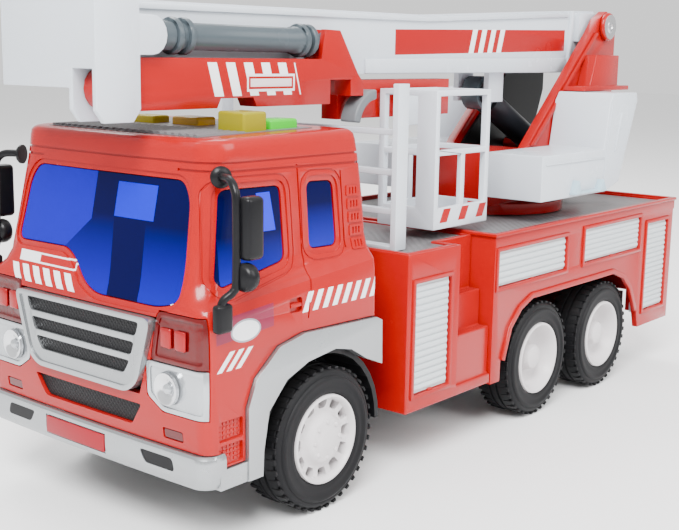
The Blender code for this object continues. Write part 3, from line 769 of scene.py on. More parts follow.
class Painter:
    """Builds materials from finishes, with node groups that every material shares."""

    def __init__(self) -> None:
        """Makes the shared groups."""
        self.made: dict[str, bpy.types.Material] = {}
        self.grain = self._grain()
        self.tone = self._tone()
        self.dust = self._dust()
        self.region = self._region()
        self.bars = self._bars()
        self.oval = self._oval()
        self.tread = self._tread()
        self.weave = self._weave()

    @staticmethod
    def _group(name: str, ins: Sequence[tuple[str, str, float]], outs: Sequence[tuple[str, str]]) -> tuple[
            bpy.types.NodeTree, bpy.types.Node, bpy.types.Node]:
        """Starts a shader group.

        Args:
            name: Group name.
            ins: Input names, socket types and values.
            outs: Output names and socket types.

        Returns:
            The tree, its input node and its output node.
        """
        tree = bpy.data.node_groups.new(name, "ShaderNodeTree")
        for title, kind, value in ins:
            socket = tree.interface.new_socket(name=title, in_out="INPUT", socket_type=kind)
            if kind == "NodeSocketFloat":
                socket.default_value = value
        for title, kind in outs:
            tree.interface.new_socket(name=title, in_out="OUTPUT", socket_type=kind)
        return tree, tree.nodes.new("NodeGroupInput"), tree.nodes.new("NodeGroupOutput")

    @staticmethod
    def _math(tree: bpy.types.NodeTree, what: str, a: object, b: object = None) -> bpy.types.NodeSocket:
        """Adds a math node.

        Args:
            tree: Node tree.
            what: Operation.
            a: Socket or number.
            b: Socket or number.

        Returns:
            The node's output socket.
        """
        node = tree.nodes.new("ShaderNodeMath")
        node.operation = what
        for slot_index, value in ((0, a), (1, b)):
            if isinstance(value, bpy.types.NodeSocket):
                tree.links.new(value, node.inputs[slot_index])
            elif value is not None:
                node.inputs[slot_index].default_value = value
        return node.outputs[0]

    def _grain(self) -> bpy.types.NodeTree:
        """Fine moulded grain as a normal.

        Returns:
            The group.
        """
        tree, enter, leave = self._group(
            "moulded_grain",
            (
                ("Scale", "NodeSocketFloat", 900.0), ("Depth", "NodeSocketFloat", 0.00001),
                ("Height", "NodeSocketFloat", 0.0)
            ),
            (("Normal", "NodeSocketVector"),),
        )
        calc = partial(self._math, tree)
        place = tree.nodes.new("ShaderNodeTexCoord")
        noise = tree.nodes.new("ShaderNodeTexNoise")
        noise.inputs["Detail"].default_value = 3.0
        tree.links.new(place.outputs["Object"], noise.inputs["Vector"])
        tree.links.new(enter.outputs["Scale"], noise.inputs["Scale"])
        fine = calc("MULTIPLY", noise.outputs["Fac"], enter.outputs["Depth"])
        total = calc("ADD", fine, enter.outputs["Height"])
        bump = tree.nodes.new("ShaderNodeBump")
        bump.inputs["Distance"].default_value = 1.0
        tree.links.new(total, bump.inputs["Height"])
        tree.links.new(bump.outputs["Normal"], leave.inputs["Normal"])
        return tree

    def _tone(self) -> bpy.types.NodeTree:
        """Slow colour and gloss variation.

        Returns:
            The group.
        """
        tree, enter, leave = self._group(
            "tone_variation",
            (
                ("Colour", "NodeSocketColor", 0.0), ("Amount", "NodeSocketFloat", 0.05),
                ("Rough", "NodeSocketFloat", 0.3)
            ),
            (("Colour", "NodeSocketColor"), ("Rough", "NodeSocketFloat")),
        )
        calc = partial(self._math, tree)
        place = tree.nodes.new("ShaderNodeTexCoord")
        noise = tree.nodes.new("ShaderNodeTexNoise")
        noise.inputs["Scale"].default_value = 38.0
        noise.inputs["Detail"].default_value = 5.0
        tree.links.new(place.outputs["Object"], noise.inputs["Vector"])
        shift = calc("SUBTRACT", noise.outputs["Fac"], 0.5)
        value = calc("ADD", calc("MULTIPLY", shift, enter.outputs["Amount"]), 1.0)
        shade = tree.nodes.new("ShaderNodeHueSaturation")
        tree.links.new(enter.outputs["Colour"], shade.inputs["Color"])
        tree.links.new(value, shade.inputs["Value"])
        tree.links.new(shade.outputs["Color"], leave.inputs["Colour"])
        wear = calc("ADD", calc("MULTIPLY", shift, 0.16), enter.outputs["Rough"])
        tree.links.new(wear, leave.inputs["Rough"])
        return tree

    def _dust(self) -> bpy.types.NodeTree:
        """Light dust on faces that look up.

        Returns:
            The group.
        """
        tree, enter, leave = self._group(
            "settled_dust",
            (("Colour", "NodeSocketColor", 0.0), ("Amount", "NodeSocketFloat", 0.03)),
            (("Colour", "NodeSocketColor"),),
        )
        calc = partial(self._math, tree)
        shape = tree.nodes.new("ShaderNodeNewGeometry")
        split = tree.nodes.new("ShaderNodeSeparateXYZ")
        tree.links.new(shape.outputs["Normal"], split.inputs[0])
        noise = tree.nodes.new("ShaderNodeTexNoise")
        noise.inputs["Scale"].default_value = 160.0
        place = tree.nodes.new("ShaderNodeTexCoord")
        tree.links.new(place.outputs["Object"], noise.inputs["Vector"])
        up = calc("MAXIMUM", split.outputs["Z"], 0.0)
        amount = calc("MULTIPLY", calc("MULTIPLY", up, noise.outputs["Fac"]), enter.outputs["Amount"])
        mix = tree.nodes.new("ShaderNodeMix")
        mix.data_type = "RGBA"
        tree.links.new(amount, mix.inputs["Factor"])
        tree.links.new(enter.outputs["Colour"], mix.inputs["A"])
        mix.inputs["B"].default_value = (0.6, 0.58, 0.55, 1.0)
        tree.links.new(mix.outputs["Result"], leave.inputs["Colour"])
        return tree

    def _region(self) -> bpy.types.NodeTree:
        """A mask that is one inside a box.

        Returns:
            The group.
        """
        ins = [(n, "NodeSocketFloat", 0.0) for n in ("U", "V", "W", "U0", "U1", "V0", "V1", "W0", "W1")]
        tree, enter, leave = self._group("print_region", ins, (("Mask", "NodeSocketFloat"),))
        calc = partial(self._math, tree)
        mask = None
        for name in "UVW":
            for what, end in (("GREATER_THAN", "0"), ("LESS_THAN", "1")):
                part = calc(what, enter.outputs[name], enter.outputs[name + end])
                mask = part if mask is None else calc("MULTIPLY", mask, part)
        tree.links.new(mask, leave.inputs["Mask"])
        return tree

    def _bars(self) -> bpy.types.NodeTree:
        """Repeated bars as a mask.

        Returns:
            The group.
        """
        ins = [(n, "NodeSocketFloat", 0.0) for n in ("U", "U0", "Period", "Duty")]
        tree, enter, leave = self._group("repeated_bars", ins, (("Mask", "NodeSocketFloat"),))
        calc = partial(self._math, tree)
        along = calc("SUBTRACT", enter.outputs["U"], enter.outputs["U0"])
        turn = calc("FRACT", calc("DIVIDE", along, enter.outputs["Period"]))
        tree.links.new(calc("LESS_THAN", turn, enter.outputs["Duty"]), leave.inputs["Mask"])
        return tree

    def _oval(self) -> bpy.types.NodeTree:
        """An oval as a mask.

        Returns:
            The group.
        """
        ins = [(n, "NodeSocketFloat", 0.0) for n in ("U", "V", "U0", "U1", "V0", "V1")]
        tree, enter, leave = self._group("oval_patch", ins, (("Mask", "NodeSocketFloat"),))
        calc = partial(self._math, tree)
        total = None
        for name in "UV":
            middle = calc(
                "MULTIPLY", calc("ADD", enter.outputs[name + "0"], enter.outputs[name + "1"]), 0.5
            )
            half = calc(
                "MULTIPLY", calc("SUBTRACT", enter.outputs[name + "1"], enter.outputs[name + "0"]), 0.5
            )
            part = calc("DIVIDE", calc("SUBTRACT", enter.outputs[name], middle), half)
            square = calc("MULTIPLY", part, part)
            total = square if total is None else calc("ADD", total, square)
        tree.links.new(calc("LESS_THAN", total, 1.0), leave.inputs["Mask"])
        return tree

    def _tread(self) -> bpy.types.NodeTree:
        """Raised crossed tears of a tread plate as a height.

        Returns:
            The group.
        """
        tree, enter, leave = self._group(
            "tread_plate_relief", (("Pitch", "NodeSocketFloat", 0.003),), (("Height", "NodeSocketFloat"),)
        )
        calc = partial(self._math, tree)
        place = tree.nodes.new("ShaderNodeTexCoord")
        split = tree.nodes.new("ShaderNodeSeparateXYZ")
        tree.links.new(place.outputs["Object"], split.inputs[0])
        plus = calc("DIVIDE", calc("ADD", split.outputs["X"], split.outputs["Y"]), enter.outputs["Pitch"])
        minus = calc(
            "DIVIDE", calc("SUBTRACT", split.outputs["X"], split.outputs["Y"]), enter.outputs["Pitch"]
        )
        u = calc("ABSOLUTE", calc("SUBTRACT", calc("FRACT", plus), 0.5))
        v = calc("ABSOLUTE", calc("SUBTRACT", calc("FRACT", minus), 0.5))
        long_one = calc("MAXIMUM", calc("MULTIPLY", u, 1.1), calc("MULTIPLY", v, 3.0))
        height = calc("MAXIMUM", calc("SUBTRACT", 0.42, long_one), 0.0)
        tree.links.new(calc("MULTIPLY", height, 2.4), leave.inputs["Height"])
        return tree

    def _weave(self) -> bpy.types.NodeTree:
        """A fine square weave as a height.

        Returns:
            The group.
        """
        tree, enter, leave = self._group(
            "weave_relief", (("Pitch", "NodeSocketFloat", 0.0014),), (("Height", "NodeSocketFloat"),)
        )
        calc = partial(self._math, tree)
        place = tree.nodes.new("ShaderNodeTexCoord")
        split = tree.nodes.new("ShaderNodeSeparateXYZ")
        tree.links.new(place.outputs["Object"], split.inputs[0])
        plus = calc("ADD", split.outputs["X"], split.outputs["Z"])
        minus = calc("SUBTRACT", split.outputs["X"], split.outputs["Z"])
        parts = []
        for way in (plus, minus):
            turn = calc("FRACT", calc("DIVIDE", way, enter.outputs["Pitch"]))
            parts.append(calc("ABSOLUTE", calc("SUBTRACT", turn, 0.5)))
        tree.links.new(calc("MAXIMUM", parts[0], parts[1]), leave.inputs["Height"])
        return tree

    @staticmethod
    def _use(
            tree: bpy.types.NodeTree, group: bpy.types.NodeTree, values: dict[str, object]
    ) -> bpy.types.Node:
        """Puts a shared group in a tree.

        Args:
            tree: Tree of the material.
            group: Shared group.
            values: Numbers, colours or sockets for its inputs.

        Returns:
            The group node.
        """
        node = tree.nodes.new("ShaderNodeGroup")
        node.node_tree = group
        for name, value in values.items():
            if isinstance(value, bpy.types.NodeSocket):
                tree.links.new(value, node.inputs[name])
            else:
                node.inputs[name].default_value = value
        return node

    def _print(
            self, tree: bpy.types.NodeTree, axes: dict[Axis, object], mark: Decal, under: object
    ) -> object:
        """Lays one decal over a colour.

        Args:
            tree: Tree of the material.
            axes: Object coordinates by axis.
            mark: The decal.
            under: Colour socket under it.

        Returns:
            The new colour socket.
        """
        calc = partial(self._math, tree)
        order = [a for a in Axis if a is not mark.axis] + [mark.axis]
        low, high = put(mark.low), put(mark.high)
        values: dict[str, object] = {}
        for name, axis in zip("UVW", order):
            values[name] = axes[axis]
            values[name + "0"] = low[axis.value]
            values[name + "1"] = high[axis.value]
        if mark.rise:
            climb = calc("MULTIPLY", calc("SUBTRACT", values["U"], values["U0"]), mark.rise)
            values["V"] = calc("SUBTRACT", values["V"], climb)
        if mark.slant:
            lean = calc("MULTIPLY", calc("SUBTRACT", values["V"], values["V0"]), mark.slant)
            values["U"] = calc("ADD", values["U"], lean)
        mask = self._use(tree, self.region, values).outputs["Mask"]
        if mark.fade:
            left = calc("SUBTRACT", values["V1"], values["V"])
            share = calc("MULTIPLY", left, 1.0 / (values["V1"] - values["V0"]))
            mask = calc("MULTIPLY", mask, share)
        if mark.mark is Mark.BARS:
            some = {"U": values["U"], "U0": values["U0"], "Period": mark.period * MM, "Duty": mark.duty}
            mask = calc("MULTIPLY", mask, self._use(tree, self.bars, some).outputs["Mask"])
        if mark.mark is Mark.OVAL:
            some = {k: values[k] for k in ("U", "V", "U0", "U1", "V0", "V1")}
            mask = calc("MULTIPLY", mask, self._use(tree, self.oval, some).outputs["Mask"])
        mix = tree.nodes.new("ShaderNodeMix")
        mix.data_type = "RGBA"
        tree.links.new(mask, mix.inputs["Factor"])
        tree.links.new(under, mix.inputs["A"])
        mix.inputs["B"].default_value = (*mark.colour, 1.0)
        return mix.outputs["Result"]

    def material(self, finish: Finish) -> bpy.types.Material:
        """Builds a finish once.

        Args:
            finish: The finish.

        Returns:
            Its material.
        """
        if finish.name in self.made:
            return self.made[finish.name]
        item = bpy.data.materials.new(finish.name)
        item.use_nodes = True
        tree = item.node_tree
        calc = partial(self._math, tree)
        shader = tree.nodes["Principled BSDF"]
        shader.inputs["Metallic"].default_value = finish.metal
        shader.inputs["Coat Weight"].default_value = finish.coat
        shader.inputs["Specular IOR Level"].default_value = finish.shine
        shader.inputs["Coat Roughness"].default_value = 0.12
        place = tree.nodes.new("ShaderNodeTexCoord")
        split = tree.nodes.new("ShaderNodeSeparateXYZ")
        tree.links.new(place.outputs["Object"], split.inputs[0])
        axes = {Axis.X: split.outputs["X"], Axis.Y: split.outputs["Y"], Axis.Z: split.outputs["Z"]}
        tone = self._use(
            tree, self.tone, {"Colour": (*finish.colour, 1.0), "Amount": finish.tone, "Rough": finish.rough}
        )
        colour = tone.outputs["Colour"]
        # Decals are print on most finishes and painted reflections on the glazing.
        for mark in finish.decals:
            colour = self._print(tree, axes, mark, colour)
        if finish.dust > 0:
            colour = self._use(tree, self.dust, {"Colour": colour, "Amount": finish.dust}).outputs["Colour"]
        tree.links.new(colour, shader.inputs["Base Color"])
        tree.links.new(tone.outputs["Rough"], shader.inputs["Roughness"])
        height: object = 0.0
        if finish.relief is Relief.TREAD:
            shape = self._use(tree, self.tread, {"Pitch": 0.0034}).outputs["Height"]
            height = calc("MULTIPLY", shape, finish.relief_depth * MM)
            # The raised tears are mixed to a lighter grey: a painted highlight on their tops.
            tear_highlight = tree.nodes.new("ShaderNodeMix")
            tear_highlight.data_type = "RGBA"
            tree.links.new(shape, tear_highlight.inputs["Factor"])
            tree.links.new(colour, tear_highlight.inputs["A"])
            tear_highlight.inputs["B"].default_value = (*[min(1.0, v * 3.4) for v in finish.colour], 1.0)
            tree.links.new(tear_highlight.outputs["Result"], shader.inputs["Base Color"])
        if finish.relief is Relief.WEAVE:
            shape = self._use(tree, self.weave, {"Pitch": 0.0016}).outputs["Height"]
            height = calc("MULTIPLY", shape, finish.relief_depth * MM)
        if finish.grain > 0 or finish.relief is not Relief.NONE:
            bump = self._use(
                tree, self.grain,
                {"Scale": finish.grain_scale, "Depth": finish.grain * MM, "Height": height}
            )
            tree.links.new(bump.outputs["Normal"], shader.inputs["Normal"])
        item.diffuse_color = (*finish.colour, 1.0)
        self.made[finish.name] = item
        return item


PAINT = Painter()


def repeat_tree() -> bpy.types.NodeTree:
    """Builds the node tree that lays copies of a shape along a line, each turned a little more.

    Returns:
        The geometry node tree.
    """
    tree = bpy.data.node_groups.new("repeat_along", "GeometryNodeTree")
    face = tree.interface
    face.new_socket(name="Geometry", in_out="INPUT", socket_type="NodeSocketGeometry")
    kinds = (
        ("Shape", "NodeSocketObject"), ("Count", "NodeSocketInt"), ("Start", "NodeSocketVector"),
        ("Step", "NodeSocketVector"), ("Turn", "NodeSocketVector"), ("Jitter", "NodeSocketFloat"),
        ("Seed", "NodeSocketInt"), ("Material", "NodeSocketMaterial"),
    )
    for title, kind in kinds:
        face.new_socket(name=title, in_out="INPUT", socket_type=kind)
    face.new_socket(name="Geometry", in_out="OUTPUT", socket_type="NodeSocketGeometry")
    enter = tree.nodes.new("NodeGroupInput")
    leave = tree.nodes.new("NodeGroupOutput")
    line = tree.nodes.new("GeometryNodeMeshLine")
    info = tree.nodes.new("GeometryNodeObjectInfo")
    copies = tree.nodes.new("GeometryNodeInstanceOnPoints")
    index = tree.nodes.new("GeometryNodeInputIndex")
    turn = tree.nodes.new("ShaderNodeVectorMath")
    turn.operation = "SCALE"
    chance = tree.nodes.new("FunctionNodeRandomValue")
    chance.data_type = "FLOAT"
    chance.inputs["ID"].default_value = 0
    size = tree.nodes.new("ShaderNodeMath")
    size.operation = "MULTIPLY_ADD"
    size.inputs[2].default_value = 1.0
    real = tree.nodes.new("GeometryNodeRealizeInstances")
    paint = tree.nodes.new("GeometryNodeSetMaterial")
    link = tree.links.new
    link(enter.outputs["Count"], line.inputs["Count"])
    link(enter.outputs["Start"], line.inputs["Start Location"])
    link(enter.outputs["Step"], line.inputs["Offset"])
    link(enter.outputs["Shape"], info.inputs["Object"])
    link(line.outputs["Mesh"], copies.inputs["Points"])
    link(info.outputs["Geometry"], copies.inputs["Instance"])
    link(enter.outputs["Turn"], turn.inputs[0])
    link(index.outputs["Index"], turn.inputs["Scale"])
    link(turn.outputs["Vector"], copies.inputs["Rotation"])
    link(enter.outputs["Seed"], chance.inputs["Seed"])
    link(chance.outputs["Value"], size.inputs[0])
    link(enter.outputs["Jitter"], size.inputs[1])
    link(size.outputs[0], copies.inputs["Scale"])
    link(copies.outputs["Instances"], real.inputs["Geometry"])
    link(real.outputs["Geometry"], paint.inputs["Geometry"])
    link(enter.outputs["Material"], paint.inputs["Material"])
    link(paint.outputs["Geometry"], leave.inputs["Geometry"])
    return tree


REPEAT = repeat_tree()


def repeated(name: str, shape: bpy.types.Object, count: int, start: Point, step: Point, finish: Finish,
             turn: Point = (0.0, 0.0, 0.0)) -> bpy.types.Object:
    """Lays copies of a shape along a line.

    Args:
        name: Name of the new object.
        shape: Shape made about the origin, which is removed afterwards.
        count: Number of copies.
        start: Drawing point of the first copy.
        step: Step to the next, in millimetres.
        finish: Finish of the copies.
        turn: Further turn of each copy, in degrees about each axis.

    Returns:
        The plain mesh object.
    """
    holder = bpy.data.objects.new(name, bpy.data.meshes.new(name))
    bpy.context.scene.collection.objects.link(holder)
    layer = holder.modifiers.new("repeat", "NODES")
    layer.node_group = REPEAT
    values = {
        "Shape": shape, "Count": count, "Start": put(start), "Step": put(step, True),
        "Turn": Vector(
            [math.radians(a) for a in turn]
        ), "Jitter": 0.0, "Seed": 7, "Material": PAINT.material(finish),
    }
    for item in REPEAT.interface.items_tree:
        if item.in_out == "INPUT" and item.name in values:
            layer[item.identifier] = values[item.name]
    applied(holder)
    bpy.data.objects.remove(shape)
    return holder


def dress(obj: bpy.types.Object, name: str, body: str, finish: Finish,
          stands_for: Sequence[str] = (), angle: float = 34.0) -> bpy.types.Object:
    """Names, paints and smooths a piece and puts it on its body.

    Args:
        obj: The piece.
        name: Its name.
        body: CAD body that it rides on.
        finish: Its finish.
        stands_for: CAD nodes that it replaces.
        angle: Edges sharper than this stay sharp, in degrees.

    Returns:
        The piece.
    """
    obj.name = name
    obj.data.name = name
    obj.data.materials.clear()
    obj.data.materials.append(PAINT.material(finish))
    obj.data.shade_smooth()
    obj.data.set_sharp_from_angle(angle=math.radians(angle))
    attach(obj, body)
    if stands_for:
        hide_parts(*stands_for)
    LOG.info("piece %s on %s: %d faces", name, body, len(obj.data.polygons))
    return obj


def dress_pair(left: bpy.types.Object, name: str, body: str, finish: Finish,
               stands_for: str = "", angle: float = 34.0) -> None:
    """Dresses a piece of the left side and its mirror image on the right.

    Args:
        left: The piece on the left.
        name: Name of both, with {} where the side goes.
        body: CAD body that both ride on.
        finish: Their finish.
        stands_for: CAD node that each replaces, with {} where the side goes.
        angle: Edges sharper than this stay sharp, in degrees.
    """
    for obj, side in zip(pair(left), SIDES):
        nodes = [stands_for.format(side)] if stands_for else []
        dress(obj, name.format(side), body, finish, nodes, angle)


@dataclass
class Studio:
    """Camera, floor and soft light.

    Attributes:
        lens: Focal length in millimetres on a 36 mm sensor.
        spot: Camera place in drawing millimetres.
        bearing: Camera bearing in degrees.
        tilt: Height angle in degrees.
        roll: Roll in degrees.
    """

    lens: float = 59.81
    spot: Point = (259.2, -196.69, 137.57)
    bearing: float = 39.68
    tilt: float = 10.67
    roll: float = 0.91

    def camera(self) -> None:
        """Places the camera."""
        a, e, r = (math.radians(v) for v in (self.bearing, self.tilt, self.roll))
        back = Vector((math.sin(a) * math.cos(e), -math.cos(a) * math.cos(e), math.sin(e)))
        right = Vector((math.cos(a), math.sin(a), 0.0))
        up = back.cross(right)
        across = right * math.cos(r) + up * math.sin(r)
        rise = up * math.cos(r) - right * math.sin(r)
        data = bpy.data.cameras.new("view")
        data.lens = self.lens
        data.sensor_width = 36.0
        data.clip_start = 0.01
        obj = bpy.data.objects.new("view", data)
        bpy.context.scene.collection.objects.link(obj)
        turned = Matrix((across, rise, back)).transposed().to_4x4()
        turned.translation = put(self.spot)
        obj.matrix_world = turned
        bpy.context.scene.camera = obj

    def lamp(self, name: str, at: Point, size: float, power: float) -> None:
        """Adds a soft area light that looks at the engine.

        Args:
            name: Light name.
            at: Place in metres.
            size: Side in metres.
            power: Power in watts.
        """
        data = bpy.data.lights.new(name, "AREA")
        data.size = size
        data.energy = power
        obj = bpy.data.objects.new(name, data)
        bpy.context.scene.collection.objects.link(obj)
        obj.location = at
        obj.rotation_euler = (Vector((0, 0, 0.06)) - Vector(at)).to_track_quat("-Z", "Y").to_euler()

    def build(self) -> None:
        """Makes the floor and the lights."""
        far, low = 4000.0, -0.3
        corners = [(-far, -far, low), (far, -far, low), (far, far, low), (-far, far, low)]
        floor = new_mesh("floor", corners, [(0, 1, 2, 3)])
        item = bpy.data.materials.new("floor_paper")
        item.use_nodes = True
        shader = item.node_tree.nodes["Principled BSDF"]
        shader.inputs["Base Color"].default_value = (0.93, 0.93, 0.93, 1.0)
        shader.inputs["Roughness"].default_value = 0.6
        floor.data.materials.append(item)
        floor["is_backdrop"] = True
        world = bpy.data.worlds.new("studio")
        bpy.context.scene.world = world
        world.use_nodes = True
        back = world.node_tree.nodes["Background"]
        back.inputs["Color"].default_value = (1.0, 1.0, 1.0, 1.0)
        back.inputs["Strength"].default_value = 1.12
        self.lamp("key", (0.45, -0.7, 0.9), 0.5, 30.0)
        self.lamp("fill", (0.9, 0.15, 0.7), 0.7, 10.0)
        self.lamp("rim", (-0.6, 0.3, 0.9), 0.6, 10.0)


@dataclass
class CabShape:
    """The cab's outer form.

    Attributes:
        levels: Height, drop of the front, front, rear, half width and corner radius of each level.
        below: Height under the floor at which cutters start.
    """

    levels: tuple[tuple[float, ...], ...] = (
        (
            25.8, 0.0, 1.8, 75.8, 50.0, 4.5
        ), (36.0, 0.0, 0.6, 75.8, 50.0, 4.5), (46.0, 0.0, 0.2, 75.8, 50.0, 4.5),
        (
            57.0, 0.0, 0.2, 75.0, 50.0, 4.5
        ), (68.0, 3.0, 0.3, 75.0, 49.8, 4.5), (72.6, 4.8, 0.8, 75.1, 49.6, 4.7),
        (
            75.5, 6.0, 1.2, 75.2, 49.0, 5.0
        ), (77.2, 6.6, 1.6, 75.3, 47.4, 5.8), (79.0, 7.0, 2.2, 75.3, 46.0, 6.5),
        (83.0, 7.5, 3.2, 75.2, 44.9, 8.0), (93.0, 4.5, 6.1, 74.4, 44.5, 8.3), (
            104.0, 0.0, 9.3, 73.0, 44.0, 8.5
        ),
        (108.6, 0.6, 9.8, 72.4, 43.6, 8.5), (
            111.8, 0.8, 9.95, 71.9, 43.3, 8.5
        ), (113.6, 1.0, 10.2, 71.4, 43.0, 8.4),
        (
            114.5, 1.1, 10.8, 70.7, 42.4, 8.2
        ), (115.0, 1.2, 11.6, 69.9, 41.6, 7.8), (115.2, 1.2, 12.8, 68.6, 40.4, 7.2),
    )

    below: float = 15.0

    def ring(self, level: Sequence[float], inset: float) -> list[Point]:
        """One level of the form.

        Args:
            level: The level's numbers.
            inset: Distance inwards.

        Returns:
            Points around the level.
        """
        height, tilt, front, rear, half, big = level
        front, rear, half = front + inset, rear - inset, half - inset
        big, small = big - inset * 0.6, 3.0
        height = height - inset if height > 105.0 else height
        side = arc((half - big, front + 0.8 + big), big, -90.0, 0.0, 12)
        back = arc((half - small, rear - small), small, 0.0, 90.0, 6)
        reach = half - big
        bow = [(reach * t, front + 0.8 * t**2) for t in (0.0, 0.2, 0.4, 0.6, 0.8)]
        left = bow + side + back
        right = [(-x, y) for x, y in reversed(left[1:])]
        return [(x, y, height - tilt * (75.0 - y) / 75.0) for x, y in left + right]

    def solid(self, name: str, inset: float = 0.0, low: float = 25.8) -> bpy.types.Object:
        """The whole form as a solid.

        Args:
            name: Object name.
            inset: Distance inwards.
            low: Lowest height.

        Returns:
            The solid.
        """
        rings = [self.ring(level, inset) for level in self.levels]
        if low < 25.8:
            rings.insert(0, [(x, y, low) for x, y, _ in rings[0]])
        return loft(name, rings)

    def core(self, inset: float) -> bpy.types.Object:
        """What lies deeper than an inset, carried on below the floor of the cab.

        Args:
            inset: Distance inwards.

        Returns:
            The solid.
        """
        return self.solid("core", inset, self.below)


FENDER_EDGE: Outline = ((16.2, 41.0), (19.4, 48.8), (28.7, 56.2), (39.2, 58.3), (72.5, 57.4), (75.4, 56.0))
ROOF_KEYS: tuple[tuple[str, float, float, float, float, float, Finish], ...] = (
    ("button_yellow", -25.0, -14.0, 40.0, 47.0, 117.2, KEY_YELLOW),
    ("button_orange", -8.0, 4.0, 42.0, 50.0, 117.4, KEY_ORANGE),
    ("button_siren", 20.0, 31.0, 34.6, 44.4, 120.4, KEY_OLIVE),
    ("button_green", 21.0, 29.5, 47.5, 59.5, 117.8, KEY_GREEN),
)
LOW_LAMP: Outline = ((27.0, 53.7), (58.0, 53.7), (58.0, 40.2), (33.2, 40.2), (27.4, 43.8))
HIGH_LAMP: Outline = ((29.0, 54.2), (58.0, 54.2), (58.0, 67.9), (31.4, 67.9))


@dataclass
class Cab:
    """The cab shell, its glazing and its small mouldings.

    Attributes:
        shape: Outer form.
        wall: Thickness of the wall.
        windscreen: Outline in x and z.
        door_window: Outline in y and z.
        back_window: Outline in y and z.
        grille: Outline of the grille's opening in x and z.
        lip: Depth of the recess around each pane.
    """

    shape: CabShape = field(default_factory=CabShape)
    wall: float = 2.4
    windscreen: tuple[Flat, ...] = (
        (-32.5, 103.0), (32.5, 103.0), (35.8, 98.0), (37.8, 80.0), (37.6, 70.4), (30.0, 68.6), (4.0, 68.6),
        (-3.0, 71.5), (-8.4, 77.2), (-13.0, 79.8), (-37.9, 79.4), (-35.9, 98.0),
    )
    door_window: tuple[Flat, ...] = ((13.4, 101.0), (36.3, 100.6), (37.6, 78.9), (12.0, 74.4), (9.9, 76.6))
    back_window: tuple[Flat, ...] = ((47.3, 100.8), (59.0, 100.4), (60.6, 80.6), (48.2, 80.8))
    grille: tuple[Flat, ...] = ((-31.0, 66.0), (31.0, 66.0), (23.8, 43.6), (-23.8, 43.6))
    lip: float = 0.5

    def groove(self, outline: Outline, depth: float) -> bpy.types.Object:
        """A cutter for a shallow recess in the side of the cab.

        Args:
            outline: Outline in y and z.
            depth: Depth of the recess.

        Returns:
            The cutter.
        """
        cutter = prism("groove", outline, Axis.X, 30.0, 60.0)
        return cut(cutter, self.shape.core(depth))

    def shell(self) -> None:
        """Builds the red shell."""
        cab = self.shape.solid("cab")
        cut(cab, self.shape.core(self.wall))
        screen = fillet(self.windscreen, 3.2)
        rim = prism("rim", grow(screen, 1.5), Axis.Y, -5.0, 24.0)
        cut(cab, cut(rim, self.shape.core(self.lip)))
        cut(cab, prism("w", screen, Axis.Y, -5.0, 30.0))
        for window in (self.door_window, self.back_window):
            round_one = fillet(window, 2.6)
            cut(cab, *pair(self.groove(grow(round_one, 1.7), self.lip)))
            cut(cab, prism("w", round_one, Axis.X, -60.0, 60.0))
            line = self.groove(grow(round_one, 3.5), 0.3)
            cut(line, prism("o", grow(round_one, 3.0), Axis.X, 20.0, 70.0))
            cut(cab, *pair(line))
        under = grow([*FENDER_EDGE, (77.0, 55.6), (77.0, 15.0), (16.3, 15.0)], 0.3)
        cut(cab, *pair(prism("u", under, Axis.X, 29.0, 60.0)))
        cut(cab, prism("g", grow(self.grille, 0.3), Axis.Y, -5.0, 8.0))
        for space in (LOW_LAMP, HIGH_LAMP):
            cut(cab, *pair(prism("l", grow(space, 0.3), Axis.Y, -4.0, 3.4)))
        cut(cab, box("b", (-60, 60), (-5, 16.0), (10, 26.1)))
        cut(cab, box("b", (-60, 60), (-5, 8.6), (10, 30.4)))
        cut(cab, box("c", (-30.6, 30.6), (10, 90), (10, 30.2)))
        cut(
            cab,
            prism(
                "r", grow(((14.6, 113.4), (62.0, 114.2), (62.0, 115.6), (14.6, 114.8)), 0.3), Axis.X, -33.3,
                33.3
            )
        )
        for _, x0, x1, y0, y1, _, _ in ROOF_KEYS:
            cut(cab, box("k", (x0 - 0.3, x1 + 0.3), (y0 - 0.3, y1 + 0.3), (108, 120)))
        self.lines(cab)
        soften(cab, 0.28, 2, 40.0, "MITER_SHARP")
        dress(cab, "cab_shell_red", "body", PAINT_RED, ["cab_shell"], 30.0)

    def lines(self, cab: bpy.types.Object) -> None:
        """Cuts door seams, the roof seam, the step recesses and the front slot.

        Args:
            cab: The shell.
        """
        seams = (
            [(42.6, 106.0), (43.3, 106.0), (44.9, 78.0), (42.2, 62.0), (41.6, 62.1), (44.2, 78.0)],
            [(8.6, 105.4), (72.6, 104.6), (72.6, 105.3), (8.6, 106.1)],
            [(64.0, 79.6), (63.4, 79.6), (61.9, 103.0), (62.5, 103.0)],
        )
        for seam in seams:
            cut(cab, *pair(self.groove(seam, 0.45)))
        ring = prism("ring", [(-60, -10), (60, -10), (60, 90), (-60, 90)], Axis.Z, 107.6, 108.2)
        cut(cab, cut(ring, self.shape.core(0.4)))
        for z0 in (26.6, 33.4):
            cut(
                cab,
                *pair(
                    self.groove(
                        fillet([(6.0, z0), (15.0, z0), (15.0, z0 + 5.8), (6.0, z0 + 5.8)], 0.8), 0.9
                    )
                )
            )
        cut(
            cab,
            *pair(self.groove(fillet([(34.0, 64.6), (39.4, 64.6), (39.4, 68.8), (34.0, 68.8)], 1.0), 1.1))
        )
        slot_shape = fillet([(-24.5, 40.3), (24.5, 40.3), (20.0, 33.6), (-20.0, 33.6)], 1.2)
        recess = prism("slot", slot_shape, Axis.Y, -5.0, 5.0)
        cut(cab, cut(recess, self.shape.core(1.6)))
        for side in pair(
            prism(
                "m", fillet([(32.8, 32.4), (40.6, 32.4), (40.6, 35.6), (32.8, 35.6)], 0.6), Axis.Y, -5.0,
                5.0
            )
        ):
            cut(cab, cut(side, self.shape.core(0.9)))

